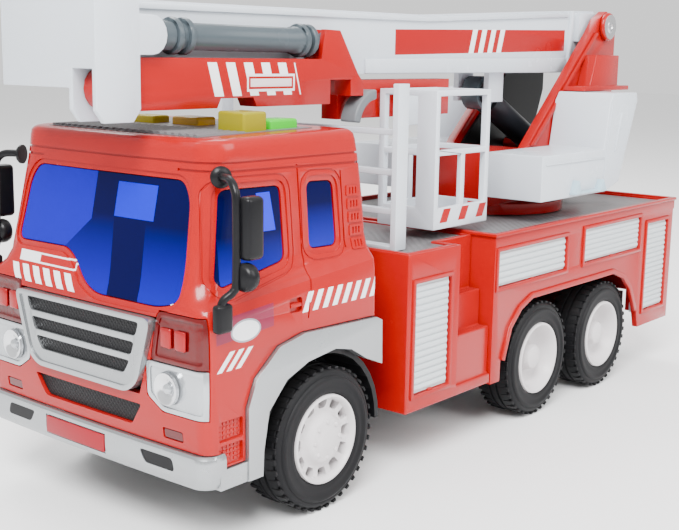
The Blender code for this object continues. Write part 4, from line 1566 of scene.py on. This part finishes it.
    def glazing(self) -> None:
        """Builds the windscreen and the side panes."""
        screen = prism("s", grow(fillet(self.windscreen, 3.2), -0.3), Axis.Y, -5.0, 24.0)
        clip(screen, self.shape.solid("skin", 0.9))
        cut(screen, self.shape.core(2.2))
        dress(screen, "windscreen_blue", "body", SCREEN, ["windscreen"], 40.0)
        side = box("plate", (39.6, 41.0), (18.5, 58.0), (83.0, 98.5))
        for window in (self.door_window, self.back_window):
            pane = prism("p", grow(fillet(window, 2.6), -0.3), Axis.X, 40.2, 60.0)
            clip(pane, self.shape.solid("skin", 0.9))
            join(side, pane)
        dress_pair(side, "side_glazing_{}", "body", SIDE_GLASS, "glazing_{}", 40.0)

    def mouldings(self) -> None:
        """Builds the vents, the door handle, the front slot mesh, the marker lamps and the step treads."""
        vents = None
        for k in range(5):
            y, z = 64.6 + 0.45 * k, 95.0 - 4.05 * k
            one = prism(
                "v", fillet([(y, z), (y + 6.0, z - 0.2), (y + 6.0, z + 3.1), (y, z + 3.3)], 0.5), Axis.X,
                40.0, 46.4
            )
            clip(one, self.shape.solid("skin", -0.35))
            cut(one, self.shape.core(1.6))
            for j in range(3):
                cut(one, box("x", (40, 60), (y + 1.2 + 1.4 * j, y + 1.9 + 1.4 * j), (z + 0.6, z + 2.6)))
            vents = one if vents is None else join(vents, one)
        dress_pair(vents, "cab_vents_{}", "body", PLAIN_RED)
        handle = box("h", (48.4, 49.9), (34.6, 39.0), (66.0, 67.2))
        dress_pair(soften(handle, 0.3), "door_handle_{}", "body", PLAIN_RED)
        mesh = prism(
            "m", fillet([(-24.0, 39.9), (24.0, 39.9), (19.6, 34.0), (-19.6, 34.0)], 1.0), Axis.Y, -2.0, 2.6
        )
        clip(mesh, self.shape.solid("skin", 1.1))
        dress(mesh, "front_slot_mesh", "body", DARK_WEAVE)
        marker = fillet([(33.2, 32.8), (40.2, 32.8), (40.2, 35.2), (33.2, 35.2)], 0.5)
        for lamp, side in zip(pair(prism("m", marker, Axis.Y, -2.0, 2.2)), SIDES):
            clip(lamp, self.shape.solid("skin", 0.25))
            dress(lamp, "marker_lamp_" + side, "body", LENS_DEEP)
        for z0 in (26.9, 33.7):
            bumps = prism(
                "n", [(-0.4, -0.4), (0.4, -0.4), (0.4, 0.4), (-0.4, 0.4)], Axis.X, -0.5, 0.15, True
            )
            for row in range(4):
                grid = repeated(
                    "g", duplicate(bumps, "bump"), 6, (49.15, 7.0, z0 + 0.8 + 1.3 * row), (0.0, 1.4, 0.0),
                    PLAIN_RED
                )
                dress_pair(grid, f"step_tread_{int(z0)}_{row}_{{}}", "body", PLAIN_RED)
            bpy.data.objects.remove(bumps)

    def build(self) -> None:
        """Builds the cab."""
        self.shell()
        self.glazing()
        self.mouldings()


@dataclass
class CabFront:
    """Grille, bumper with the fenders, front plate and lamps.

    Attributes:
        shape: Outer form of the cab.
        fender_in: Lower edge of the fender in y and z.
        lamp: Middle of the clear lamp in x and z.
    """

    shape: CabShape = field(default_factory=CabShape)
    fender_in: tuple[Flat, ...] = (
        (75.8, 41.8), (67.6, 45.2), (60.5, 49.4), (53.0, 51.0), (40.9, 49.5), (31.7, 46.0), (24.4, 38.4),
        (22.3, 27.4), (22.0, 20.0),
    )
    lamp: Flat = (35.4, 47.0)

    def grille(self) -> None:
        """Builds the silver grille with its dark bars of mesh."""
        sides = ((31.0, 66.0), (27.6, 54.6), (25.2, 47.0), (20.6, 43.6))
        outline = fillet((*((-x, z) for x, z in reversed(sides)), *sides), 3.2)
        plate = prism("g", outline, Axis.Y, -0.9, 3.0)
        ridge = cut(
            prism("r", outline, Axis.Y, -1.5, 2.0), prism("q", grow(outline, -1.5), Axis.Y, -3.0, 4.0)
        )
        join(plate, ridge)
        slots = ((64.2, 60.1, 25.6, 24.2), (58.3, 54.4, 23.6, 22.2), (52.7, 48.7, 21.6, 19.0))
        holes = []
        for top, low, wide, narrow in slots:
            shape = fillet(((-wide, top), (wide, top), (narrow, low), (-narrow, low)), 1.2)
            cut(plate, prism("s", shape, Axis.Y, -3.0, 1.2))
            holes.append(grow(shape, -0.15))
        soften(plate, 0.4, 3, 40)
        dress(plate, "grille_silver", "body", SILVER, ["grille"])
        for k, hole in enumerate(holes):
            mesh = prism("m", hole, Axis.Y, -0.15, 1.1)
            dress(mesh, f"grille_mesh_{k}", "body", DARK_WEAVE)

    def bumper(self) -> None:
        """Builds the silver bumper, side strips and fenders."""
        rings = []
        for z, lean in (
            (20.0, 2.0), (20.6, 1.0), (22.0, 0.3), (24.5, 0.0), (28.2, 0.0), (29.4, 0.2), (30.1, 0.8)
        ):
            ring = self.shape.ring((40.0, 0.0, lean - 0.6, 75.0, 50.6 - lean, 5.0), 0.0)
            rings.append([(x, y, z) for x, y, _ in ring])
        bumper = loft("bumper", rings)
        clip(bumper, box("f", (-60, 60), (-5, 8.2), (10, 40)))
        inner = [(x, y) for x, y, _ in self.shape.ring((40.0, 0.0, 2.6, 75.0, 47.4, 4.0), 0.0)]
        cut(bumper, prism("i", inner, Axis.Z, 10.0, 40.0))
        join(bumper, *pair(box("s", (47.4, 50.6), (6.0, 21.6), (20.0, 25.7))))
        arch = [(16.3, 20.0), *FENDER_EDGE, *self.fender_in]
        join(bumper, *pair(prism("a", arch, Axis.X, 47.4, 51.2)))
        fog = fillet(((24.4, 27.9), (37.6, 27.9), (38.6, 24.2), (26.6, 24.2)), 1.3)
        cut(bumper, *pair(prism("f", fog, Axis.Y, -5.0, 1.4)))
        cut(bumper, prism("p", [(-18.6, 22.4), (9.6, 22.4), (9.6, 28.4), (-18.6, 28.4)], Axis.Y, -5.0, 0.0))
        soften(bumper, 0.7, 3, 35)
        dress(bumper, "bumper_silver", "body", SILVER, ["bumper_fenders"], 30.0)
        dress_pair(
            prism("f", grow(fog, -0.15), Axis.Y, -0.1, 1.3), "fog_lamp_{}", "body", CHARCOAL,
        )
        plate = soften(box("p", (-18.2, 9.2), (-0.75, -0.1), (22.8, 28.0)), 0.25)
        dress(plate, "front_plate", "body", PLATE_RED)

    def lamps(self) -> None:
        """Builds the corner lamps with their reflectors, lens details and two brighter red inserts that paint
        a highlight on each red lamp.
        """
        across, up = self.lamp
        for title, space, slot_name, finish in (
            ("headlight", LOW_LAMP, "clear_lamp", CLEAR),
            ("red_lamp", HIGH_LAMP, "red_lamp", LENS_RED),
        ):
            lamp = prism("l", fillet(space, 1.4), Axis.Y, -4.0, 3.1)
            clip(lamp, self.shape.solid("skin", 0.05))
            inner = prism(
                "i", fillet(grow([(min(x, 49.4), z) for x, z in space], -1.3), 1.0), Axis.Y, -4.0, 3.0
            )
            cut(lamp, cut(inner, self.shape.core(0.55)))
            if title == "headlight":
                cut(lamp, rod("r", (across, -4.0, up), (across, 1.5, up), 4.9))
                for x in (42.6, 44.4, 46.2):
                    cut(
                        lamp,
                        prism(
                            "n", [(x, 41.8), (x + 0.6, 41.8), (x + 0.6, 52.2), (x, 52.2)], Axis.Y, -4.0,
                            1.25
                        )
                    )
            else:
                for z in (57.4, 60.8, 64.2):
                    cut(lamp, box("n", (31.6, 47.6), (-3, 1.15), (z, z + 0.5)))
                for x in (37.4, 43.0):
                    cut(lamp, box("n", (x, x + 0.5), (-3, 1.25), (55.6, 66.6)))
            soften(lamp, 0.3, 2, 40)
            dress_pair(lamp, title + "_lens_{}", "body", finish, title + "_{}")
        # Two brighter red inserts in each red lamp are a painted highlight on the lens.
        for x0, x1 in ((32.8, 37.0), (38.4, 42.6)):
            bright_insert = soften(box("g", (x0, x1), (0.35, 1.4), (58.3, 63.9)), 0.7, 3)
            dress_pair(bright_insert, f"red_gem_{int(x0)}_{{}}", "body", RED_LENS_HIGHLIGHT)
        bowl = (
            (0.0, 0.0), (0.0, 1.6), (-0.5, 2.6), (-1.1, 3.6), (-1.25, 4.5), (-0.2, 4.55), (0.25, 4.0),
            (0.25, 0.0),
        )
        dish = lathe("d", bowl, (across, 1.0, up), (0, 1, 0), 40)
        dress_pair(dish, "lamp_dish_{}", "body", BRIGHT)
        bulb = lathe(
            "b", ((0.0, 1.5), (-0.7, 1.4), (-1.1, 1.0), (-1.3, 0.0)), (across, 0.95, up), (0, 1, 0), 28
        )
        dress_pair(bulb, "lamp_bulb_{}", "body", CLEAR)

    def build(self) -> None:
        """Builds the front."""
        self.grille()
        self.bumper()
        self.lamps()


class Roof:
    """Ribbed roof panel and the sprung keys."""

    def build(self) -> None:
        """Builds the roof."""
        panel = prism(
            "panel", ((14.6, 113.4), (62.0, 114.2), (62.0, 115.2), (14.6, 114.4)), Axis.X, -33.0, 33.0
        )
        for name, x0, x1, y0, y1, top, finish in ROOF_KEYS:
            cut(panel, box("k", (x0 - 0.3, x1 + 0.3), (y0 - 0.3, y1 + 0.3), (108, 120)))
            key = soften(box("key", (x0, x1), (y0, y1), (110.5, top)), 0.9, 4)
            dress(key, name + "_cap", name + "_key", finish, [name])
        dress(panel, "roof_panel_base", "body", DARK_RIBS, ["roof_panel"])
        rib = prism("rib", [(-0.8, -0.3), (0.8, -0.3), (0.55, 0.3), (-0.55, 0.3)], Axis.Y, -9.4, 9.4, True)
        row = repeated("ribs", rib, 22, (-31.5, 24.6, 114.75), (3.0, 0.0, 0.0), DARK_RIBS)
        dress(row, "roof_ribs_0", "body", DARK_RIBS)


@dataclass
class Mirrors:
    """The mirror arms beside the cab.

    Attributes:
        path: Middle line of the left arm.
    """

    path: tuple[Point, ...] = (
        (44.6, 12.2, 104.6), (47.2, 11.0, 104.8), (50.8, 9.6, 104.4), (53.2, 8.8, 102.2), (54.0, 8.6, 98.0),
        (54.0, 8.5, 79.0), (53.6, 7.8, 75.6), (52.4, 5.6, 73.6), (51.8, 4.8, 71.4),
    )

    def build(self) -> None:
        """Builds both mirror arms."""
        arm = sweep("arm", self.path, 1.15)
        root = lathe(
            "root", ((0.0, 3.0), (0.6, 3.0), (1.3, 2.4), (1.6, 1.4), (1.6, 0.0)), (44.3, 12.4, 104.6),
            (1.0, -0.5, 0.0), 24
        )
        foot = soften(box("foot", (50.5, 53.6), (2.6, 8.2), (64.6, 72.4)), 1.1, 4)
        big = soften(box("big", (53.5, 57.9), (9.0, 15.6), (83.8, 100.6)), 1.5, 5)
        small = lathe(
            "round", ((0.0, 2.6), (0.6, 3.5), (1.6, 3.9), (3.0, 3.9), (4.0, 3.5), (4.6, 2.6)),
            (55.2, 8.6, 79.2), (0, 1, 0), 36
        )
        join(arm, root, foot, big, small)
        dress_pair(arm, "mirror_arm_{}", "body", CHARCOAL, "mirror_{}", 40.0)


@dataclass
class Shutter:
    """A roller shutter of rounded slats.

    Attributes:
        name: Name of the piece.
        y0: Front edge.
        y1: Rear edge.
        z0: Lower edge.
        z1: Upper edge.
    """

    name: str
    y0: float
    y1: float
    z0: float
    z1: float

    def build(self) -> None:
        """Builds the slats on both sides."""
        count = max(3, round((self.z1 - self.z0 - 0.8) / 2.2))
        pitch = (self.z1 - self.z0 - 0.8) / count
        half = (self.y1 - self.y0) / 2 - 0.5
        section = [
            (-1.2, -0.5 * pitch), *arc((0.0, 0.0), pitch * 0.44, -70, 70, 6), (-1.2, 0.5 * pitch - 0.1)
        ]
        slat = prism("slat", [(x * 0.62, z) for x, z in section], Axis.Y, -half, half, True)
        middle = (self.y0 + self.y1) / 2
        slats = repeated(
            self.name, slat, count, (49.35, middle, self.z0 + 0.4 + pitch / 2), (0.0, 0.0, pitch), SHUTTER
        )
        dress_pair(slats, f"{self.name}_slats_{{}}", "body", SHUTTER)
        tab = soften(
            box("tab", (48.8, 49.95), (middle - 1.2, middle + 1.2), (self.z0 - 1.3, self.z0 + 0.1)), 0.3
        )
        dress_pair(tab, f"{self.name}_latch_{{}}", "body", PLAIN_RED)


@dataclass
class Bodywork:
    """The two body sections behind the cab with their decks, shutters and the boom rest.

    Attributes:
        frames: Spans in y and z of the openings of the shutter frames.
        rear_arch: Edge of the rear wheel arch in y and z.
    """

    frames: tuple[tuple[float, float, float, float], ...] = (
        (94.2, 114.3, 26.7, 64.3), (
            144.4, 194.1, 55.4, 68.6
        ), (208.9, 259.1, 55.9, 69.6), (266.5, 287.1, 26.9, 65.9),
    )
    rear_arch: tuple[Flat, ...] = (
        (148.0, 10.0), (148.5, 28.0), (153.0, 40.0), (160.0, 46.5), (169.0, 50.0), (236.0, 50.0),
        (246.0, 46.5), (253.5, 40.0), (260.0, 29.0), (266.0, 10.0),
    )

    def build(self) -> None:
        """Builds the body sections."""
        for node, name, width in (("mid_body", "mid_body_red", 0.6), ("rear_body", "rear_body_red", 0.6)):
            dress(soften(from_node(node, name), width), name, "body", PLAIN_RED, [node])
        for node in ("mid_deck", "rear_deck"):
            dress(
                soften(from_node(node, node), 0.25, 2), node + "_plate", "body", TREAD_GREY,
                [node]
            )
        for node in ("mid_shutter_left", "mid_shutter_right", "rear_shutters_left", "rear_shutters_right"):
            base = from_node(node, node)
            dress(base, node + "_backing", "body", SHUTTER, [node])
        for title, y0, y1, z0, z1 in (
            ("mid_shutter", 94.6, 113.9, 27.2, 63.8), ("upper_front_shutter", 144.8, 193.7, 55.8, 68.2),
            ("upper_rear_shutter", 209.3, 258.7, 56.3, 69.2), ("tall_shutter", 266.9, 286.7, 27.3, 65.5),
        ):
            Shutter(title, y0, y1, z0, z1).build()
        rest = soften(from_node("boom_rest", "boom_rest_frame"), 0.5, 3)
        dress(rest, "boom_rest_frame", "body", BODY_WHITE, ["boom_rest"])
        self.trim()

    def trim(self) -> None:
        """Builds the arch lips, the deck edges and the frames around the shutters."""
        lip = soften(prism("lip", band(self.rear_arch[1:-1], 2.2), Axis.X, 49.0, 50.7), 0.3)
        dress_pair(lip, "arch_lip_{}", "body", PLAIN_RED)
        mid = box("m", (-49.4, 49.4), (91.0, 118.6), (73.3, 74.6))
        cut(mid, box("n", (-47.6, 47.6), (92.8, 130.0), (70.0, 80.0)))
        rear = box("r", (-50.9, 50.9), (141.2, 294.0), (74.0, 75.3))
        cut(rear, box("n", (-48.6, 48.6), (143.4, 291.8), (70.0, 80.0)))
        for obj, title in ((mid, "mid"), (rear, "rear")):
            dress(soften(obj, 0.3), title + "_deck_edge", "body", PLAIN_RED)
        for k, (y0, y1, z0, z1) in enumerate(self.frames):
            ring = prism("f", grow(((y0, z0), (y1, z0), (y1, z1), (y0, z1)), 1.5), Axis.X, 49.2, 50.6)
            cut(ring, prism("g", ((y0, z0), (y1, z0), (y1, z1), (y0, z1)), Axis.X, 40.0, 60.0))
            dress_pair(soften(ring, 0.25, 2), f"shutter_frame_{k}_{{}}", "body", PLAIN_RED)


@dataclass
class Wheels:
    """Rims and tyres of the six wheels.

    Attributes:
        axles: Name and place of each axle.
        height: Height of the axles.
    """

    axles: tuple[tuple[str, float], ...] = (("front", 51.9), ("rear_1", 178.4), ("rear_2", 230.9))
    height: float = 22.5

    def tyre(self, title: str, y: float) -> None:
        """Builds the tyres of one axle.

        Args:
            title: Axle name.
            y: Axle place.
        """
        profile = (
            (33.5, 14.2), (33.5, 16.0), (33.8, 18.9), (34.4, 20.8), (35.6, 21.8), (37.0, 22.15), (39.4, 22.2),
            (39.6, 21.5), (40.3, 21.5), (40.5, 22.2), (42.5, 22.2), (42.7, 21.5), (43.4, 21.5), (43.6, 22.2),
            (45.8, 22.1), (46.9, 21.9), (47.1, 21.4), (47.5, 21.4), (47.7, 21.6), (48.4, 20.9), (48.7, 20.2),
            (48.6, 19.6), (49.1, 19.3), (49.25, 18.9), (49.3, 18.0), (48.95, 17.6), (49.1, 16.0),
            (49.0, 15.0), (48.6, 14.2),
        )
        body = "wheels_" + title
        rubber = lathe("t", profile, (0, y, self.height), (1, 0, 0), 72, True)
        block = prism(
            "b", fillet([(-2.1, -0.95), (2.1, -0.6), (2.1, 0.95), (-2.1, 0.6)], 0.2, 2), Axis.Z, 21.6,
            22.34, True
        )
        for k, (x, lead) in enumerate(((36.8, 0.0), (46.2, 5.0))):
            shape = duplicate(block, "block")
            shape.data.transform(Matrix.Rotation(math.radians(lead), 4, "X"))
            row = repeated("tread", shape, 40, (x, y, self.height), (0.0, 0.0, 0.0), TYRE, (9.0, 0.0, 0.0))
            dress_pair(row, f"tread_{title}_{k}_{{}}", body, TYRE)
        bpy.data.objects.remove(block)
        dress_pair(rubber, f"tyre_{title}_{{}}_rubber", body, TYRE, f"tyre_{title}_{{}}", 50.0)

    def rim(self, title: str, y: float) -> None:
        """Builds the rims of one axle.

        Args:
            title: Axle name.
            y: Axle place.
        """
        body = "wheels_" + title
        bore = ((43.8, 0.0), (43.8, 2.3), (34.0, 2.3), (34.0, 13.9))
        if title == "front":
            face = (
                (48.6, 13.9), (49.1, 13.7), (49.2, 13.1), (48.6, 12.6), (47.3, 12.2), (46.8, 9.2),
                (47.3, 8.2), (47.9, 7.6), (48.9, 7.0), (49.3, 6.2), (49.3, 4.6), (49.7, 3.6),
                (49.85, 2.2), (49.9, 0.0),
            )
        else:
            face = (
                (48.6, 13.9), (49.1, 13.7), (49.2, 13.0), (48.5, 12.3), (45.4, 11.6), (43.0, 10.6),
                (42.2, 9.4), (42.2, 6.4), (42.8, 5.6), (45.6, 5.0), (46.9, 4.4), (47.5, 3.2),
                (47.7, 1.6), (47.7, 0.0),
            )
        rim = lathe("r", (*bore, *face), (0, y, self.height), (1, 0, 0), 60, True)
        if title == "front":
            for k in range(12):
                turn = Matrix.Rotation(math.radians(30 * k), 4, "X")
                hole = prism(
                    "h", fillet([(-1.55, 9.4), (1.55, 9.4), (2.1, 12.2), (-2.1, 12.2)], 0.8, 3), Axis.X,
                    43.5, 52.0, True
                )
                hole.data.transform(turn)
                hole.data.transform(Matrix.Translation(put((0, y, self.height))))
                cut(rim, hole)
        dress_pair(rim, f"rim_{title}_{{}}_face", body, RIM, f"rim_{title}_{{}}", 38.0)
        if title == "front":
            bolt = lathe(
                "bolt", ((0.0, 0.75), (0.9, 0.75), (1.1, 0.55), (1.15, 0.0)), (48.6, 0.0, 5.6), (1, 0, 0),
                10, local=True
            )
            bolts = repeated(
                "bolts", bolt, 8, (0.0, y, self.height), (0.0, 0.0, 0.0), RIM, (45.0, 0.0, 0.0)
            )
            # The charcoal ring behind the slots is painted shade: it makes the slots read as dark gaps.
            dark = lathe(
                "dark", ((0.0, 8.9), (0.4, 8.9), (0.4, 12.5), (0.0, 12.5)), (44.0, y, self.height),
                (1, 0, 0), 48, True
            )
            for piece, what, finish, slot_name in (
                (bolts, "bolts", RIM, "rim_plastic"), (dark, "slot_shade", CHARCOAL, "black_plastic")
            ):
                dress_pair(piece, f"rim_{what}_{{}}", body, finish)

    def build(self) -> None:
        """Builds the wheels."""
        for title, y in self.axles:
            self.tyre(title, y)
            self.rim(title, y)


@dataclass
class Superstructure:
    """Turntable, covers, boom, stick, rams and basket.

    Attributes:
        boom_pivot: Pivot of the boom in y and z.
        lift_base: Lower pin of the lifting ram in y and z.
        ram_front: Front end of the stick ram in y and z.
        ram_rear: Rear end of the stick ram in y and z.
    """

    boom_pivot: Flat = (275.6, 150.6)
    lift_base: Flat = (252.0, 98.0)
    ram_front: Flat = (10.0, 141.5)
    ram_rear: Flat = (87.0, 141.0)

    def turntable(self) -> None:
        """Builds the slewing base, covers and pivot bolt."""
        dress(
            soften(from_node("turntable", "t"), 0.6), "turntable_red", "slew", PLAIN_RED,
            ["turntable"]
        )
        for side in ("left", "right"):
            cover = soften(from_node("cover_" + side, "c"), 1.3, 4)
            dress(cover, f"cover_{side}_white", "slew", BODY_WHITE, ["cover_" + side])
        seat = (20.3, *self.boom_pivot)
        dome = ((-0.2, 3.2), (0.0, 6.2), (1.2, 6.2), (1.9, 5.6), (2.0, 3.6), (1.4, 3.4), (1.4, 0.0))
        head = lathe("h", dome, seat, (1, 0, 0), 36)
        button = ((1.0, 3.2), (1.9, 3.1), (2.4, 2.3), (2.5, 1.2), (1.8, 1.0), (1.8, 0.0))
        screw = lathe("w", button, seat, (1, 0, 0), 28)
        slot = cut(screw, box("x", (21.8, 24.0), (274.9, 276.3), (148.0, 153.2)))
        block = box("b", (20.1, 26.4), (250.0, 277.5), (124.0, 138.2))
        cut(
            block,
            prism("x", [(246.0, 110.0), (257.0, 140.0), (250.0, 145.0), (230.0, 110.0)], Axis.X, 10.0, 40.0)
        )
        ledge = prism(
            "l", [(238.0, 123.1), (279.4, 123.1), (279.4, 125.1), (239.5, 125.1)], Axis.X, 20.1, 31.0
        )
        rib = prism(
            "r", [(213.5, 100.9), (216.5, 100.9), (267.6, 147.6), (265.4, 148.0)], Axis.X, 20.0, 21.2
        )
        pieces = (
            (head, "cap", PLAIN_RED), (slot, "screw", STEEL), (join(block, ledge), "block", PLAIN_RED),
            (rib, "arm_rib", PLAIN_RED),
        )
        for piece, what, finish in pieces:
            soften(piece, 0.35, 2, 40)
            dress_pair(piece, f"pivot_{what}_{{}}", "slew", finish)
        self.cover_details()
        lining = box("l", (-15.8, 15.8), (186.6, 262.0), (84.3, 86.0))
        edge = (
            (186.6, 84.5), (262.0, 84.5), (275.0, 102.0), (283.0, 122.0), (283.0, 140.0), (266.0, 143.6),
            (214.0, 98.0), (186.6, 98.0),
        )
        for x in (14.6, -15.8):
            wall = prism("w", edge, Axis.X, x, x + 1.2)
            cut(wall, rod("h", (-30, *self.lift_base), (30, *self.lift_base), 3.0))
            join(lining, wall)
        dress(lining, "turntable_lining", "slew", CHARCOAL)

    def cover_details(self) -> None:
        """Builds the feet, seams and panel lines of the covers."""
        foot = prism("f", [(201.6, 84.0), (206.4, 84.0), (204.0, 89.4)], Axis.X, 45.8, 49.0)
        join(foot, prism("g", [(222.0, 83.6), (227.6, 83.6), (224.8, 88.4)], Axis.X, 45.8, 49.0))
        join(
            foot,
            prism("h", [(201.6, 83.8), (227.6, 83.8), (227.6, 84.6), (201.6, 84.6)], Axis.X, 45.8, 48.0)
        )
        seam = prism(
            "s", [(229.4, 86.4), (230.0, 86.4), (234.6, 118.0), (234.0, 118.0)], Axis.X, 45.9, 46.35
        )
        join(
            seam,
            prism(
                "t", grow([(238.0, 99.0), (239.6, 99.0), (244.4, 115.0), (242.8, 115.0)], 0.0), Axis.X,
                45.9, 46.5
            )
        )
        join(
            seam,
            prism("u", [(182.0, 96.4), (229.6, 96.4), (229.6, 97.0), (182.0, 97.0)], Axis.X, 45.9, 46.35)
        )
        for piece, what in ((foot, "foot"), (seam, "seam")):
            soften(piece, 0.15, 2, 40)
            finish = FOOT_PALE if what == "foot" else BODY_WHITE
            dress_pair(piece, f"cover_{what}_{{}}", "slew", finish)

    def boom(self) -> None:
        """Builds the main boom with its head and rails."""
        # The pocket grows by the rounding's width, so that its rounded corners stay clear of the ram.
        main = cut(from_node("main_boom", "b"), box("pocket", (-6.1, 6.1), (192.3, 216.7), (125.0, 135.5)))
        soften(main, 0.7)
        dress(main, "main_boom_white", "boom", BOOM_WHITE, ["main_boom"])
        dress(
            soften(from_node("boom_head", "h"), 0.7), "boom_head_white", "boom", BODY_WHITE,
            ["boom_head"]
        )
        top_rail = prism(
            "r", [(6, 148.6), (150, 149.2), (256, 154.3), (256, 156.2), (150, 151.0), (6, 150.4)], Axis.X,
            11.4, 12.3
        )
        flange = prism(
            "f", [(113.5, 130.6), (255.0, 130.6), (255.0, 136.7), (113.5, 135.6)], Axis.X, 11.4, 12.5
        )
        collar = prism(
            "c", [(255.2, 132.0), (257.4, 132.0), (259.6, 157.0), (257.4, 157.0)], Axis.X, 11.4, 13.0
        )
        for piece, what in ((top_rail, "top_rail"), (flange, "flange"), (collar, "collar")):
            soften(piece, 0.3, 2, 40)
            dress_pair(piece, f"boom_{what}_{{}}", "boom", BODY_WHITE)

    def stick(self) -> None:
        """Builds the folding stick and the curved link."""
        dress(
            soften(from_node("stick_boom", "s"), 0.7), "stick_red", "stick", STICK_RED,
            ["stick_boom"]
        )
        outer = arc((110.5, 113.0), 12.4, 92.0, 172.0, 20)
        inner = arc((110.5, 113.0), 9.0, 172.0, 92.0, 20)
        link = soften(prism("l", outer + inner, Axis.X, 13.6, 20.2), 1.2, 4, 40)
        dress(link, "stick_link_grey", "stick", LINK_GREY)

    def rams(self) -> None:
        """Builds the rams."""
        front, rear = Vector((0, *self.ram_front)), Vector((0, *self.ram_rear))
        way = (rear - front).normalized()
        barrel = from_node("stick_barrel", "barrel")
        for along in (10.0, 14.4, 63.4, 67.0):
            ring = lathe("ring", ((0.0, 4.0), (0.0, 5.0), (0.4, 5.25), (1.6, 5.25), (2.0, 5.0), (2.0, 4.0)),
                         (15.8, *(front + way * along).yz), (0.0, way.y, way.z), 40)
            limit = box("limit", (11.7, 30.0), (0.0, 100.0), (120.0, 160.0))
            join(barrel, clip(ring, limit))
        soften(barrel, 0.2, 2, 50)
        dress(
            barrel, "stick_ram_barrel_grey", "stick_ram_barrel", RAM_GREY, ["stick_barrel"],
            30.0
        )
        for node, name, body, finish in (
            ("lift_barrel", "lift_ram_barrel_dark", "lift_ram_barrel", RAM_DARK),
            ("lift_rod", "lift_ram_rod_grey", "lift_ram_rod", RAM_GREY),
            ("stick_rod", "stick_ram_rod_grey", "stick_ram_rod", RAM_GREY),
        ):
            dress(soften(from_node(node, "r"), 0.25, 2, 50), name, body, finish, [node], 30.0)

    def basket(self) -> None:
        """Builds the basket."""
        dress(
            soften(from_node("basket", "b"), 0.45), "basket_white", "rescue_basket", BASKET_WHITE,
            ["basket"]
        )

    def build(self) -> None:
        """Builds everything above the deck."""
        self.turntable()
        self.boom()
        self.stick()
        self.rams()
        self.basket()


@dataclass
class Hidden:
    """CAD nodes that are shown as they are, each with a finish of its own.

    Attributes:
        finishes: Finish of each node.
    """

    finishes: dict[str, Finish] = field(default_factory=lambda: {
        "chassis": CHARCOAL, "battery_cover": CHARCOAL, "circuit_board": BOARD, "speaker": CHARCOAL,
        "motor_housing": BODY_WHITE, "flywheel": STEEL, "slew_retainer": CHARCOAL, "pivot_bolt": STEEL,
        "axle_front": STEEL, "axle_rear_1": STEEL, "axle_rear_2": STEEL,
    })

    def build(self) -> None:
        """Paints the nodes that are carried over."""
        for name, finish in self.finishes.items():
            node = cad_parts[name]
            node.data.materials.clear()
            node.data.materials.append(PAINT.material(finish))
            LOG.info("node %s keeps its shape", name)


def save_bounds(stage_name: str, sizes: dict[str, object]) -> None:
    """Records the bounds at a stage.

    Args:
        stage_name: Name of the stage.
        sizes: Record that is filled.
    """
    low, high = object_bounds()
    sizes[stage_name] = [[float(v) for v in low], [float(v) for v in high]]


def main() -> None:
    """Builds the looks in order."""
    logging.basicConfig(level=logging.INFO, format="%(message)s")
    sizes: dict[str, object] = {}
    studio = Studio()
    studio.camera()
    save_bounds("frame", sizes)
    for part in (Hidden(), Cab(), CabFront(), Roof(), Mirrors(), Bodywork(), Wheels(), Superstructure()):
        LOG.info("building %s", type(part).__name__)
        part.build()
    studio.build()
    save_bounds("looks", sizes)


if __name__ == "__main__":
    main()
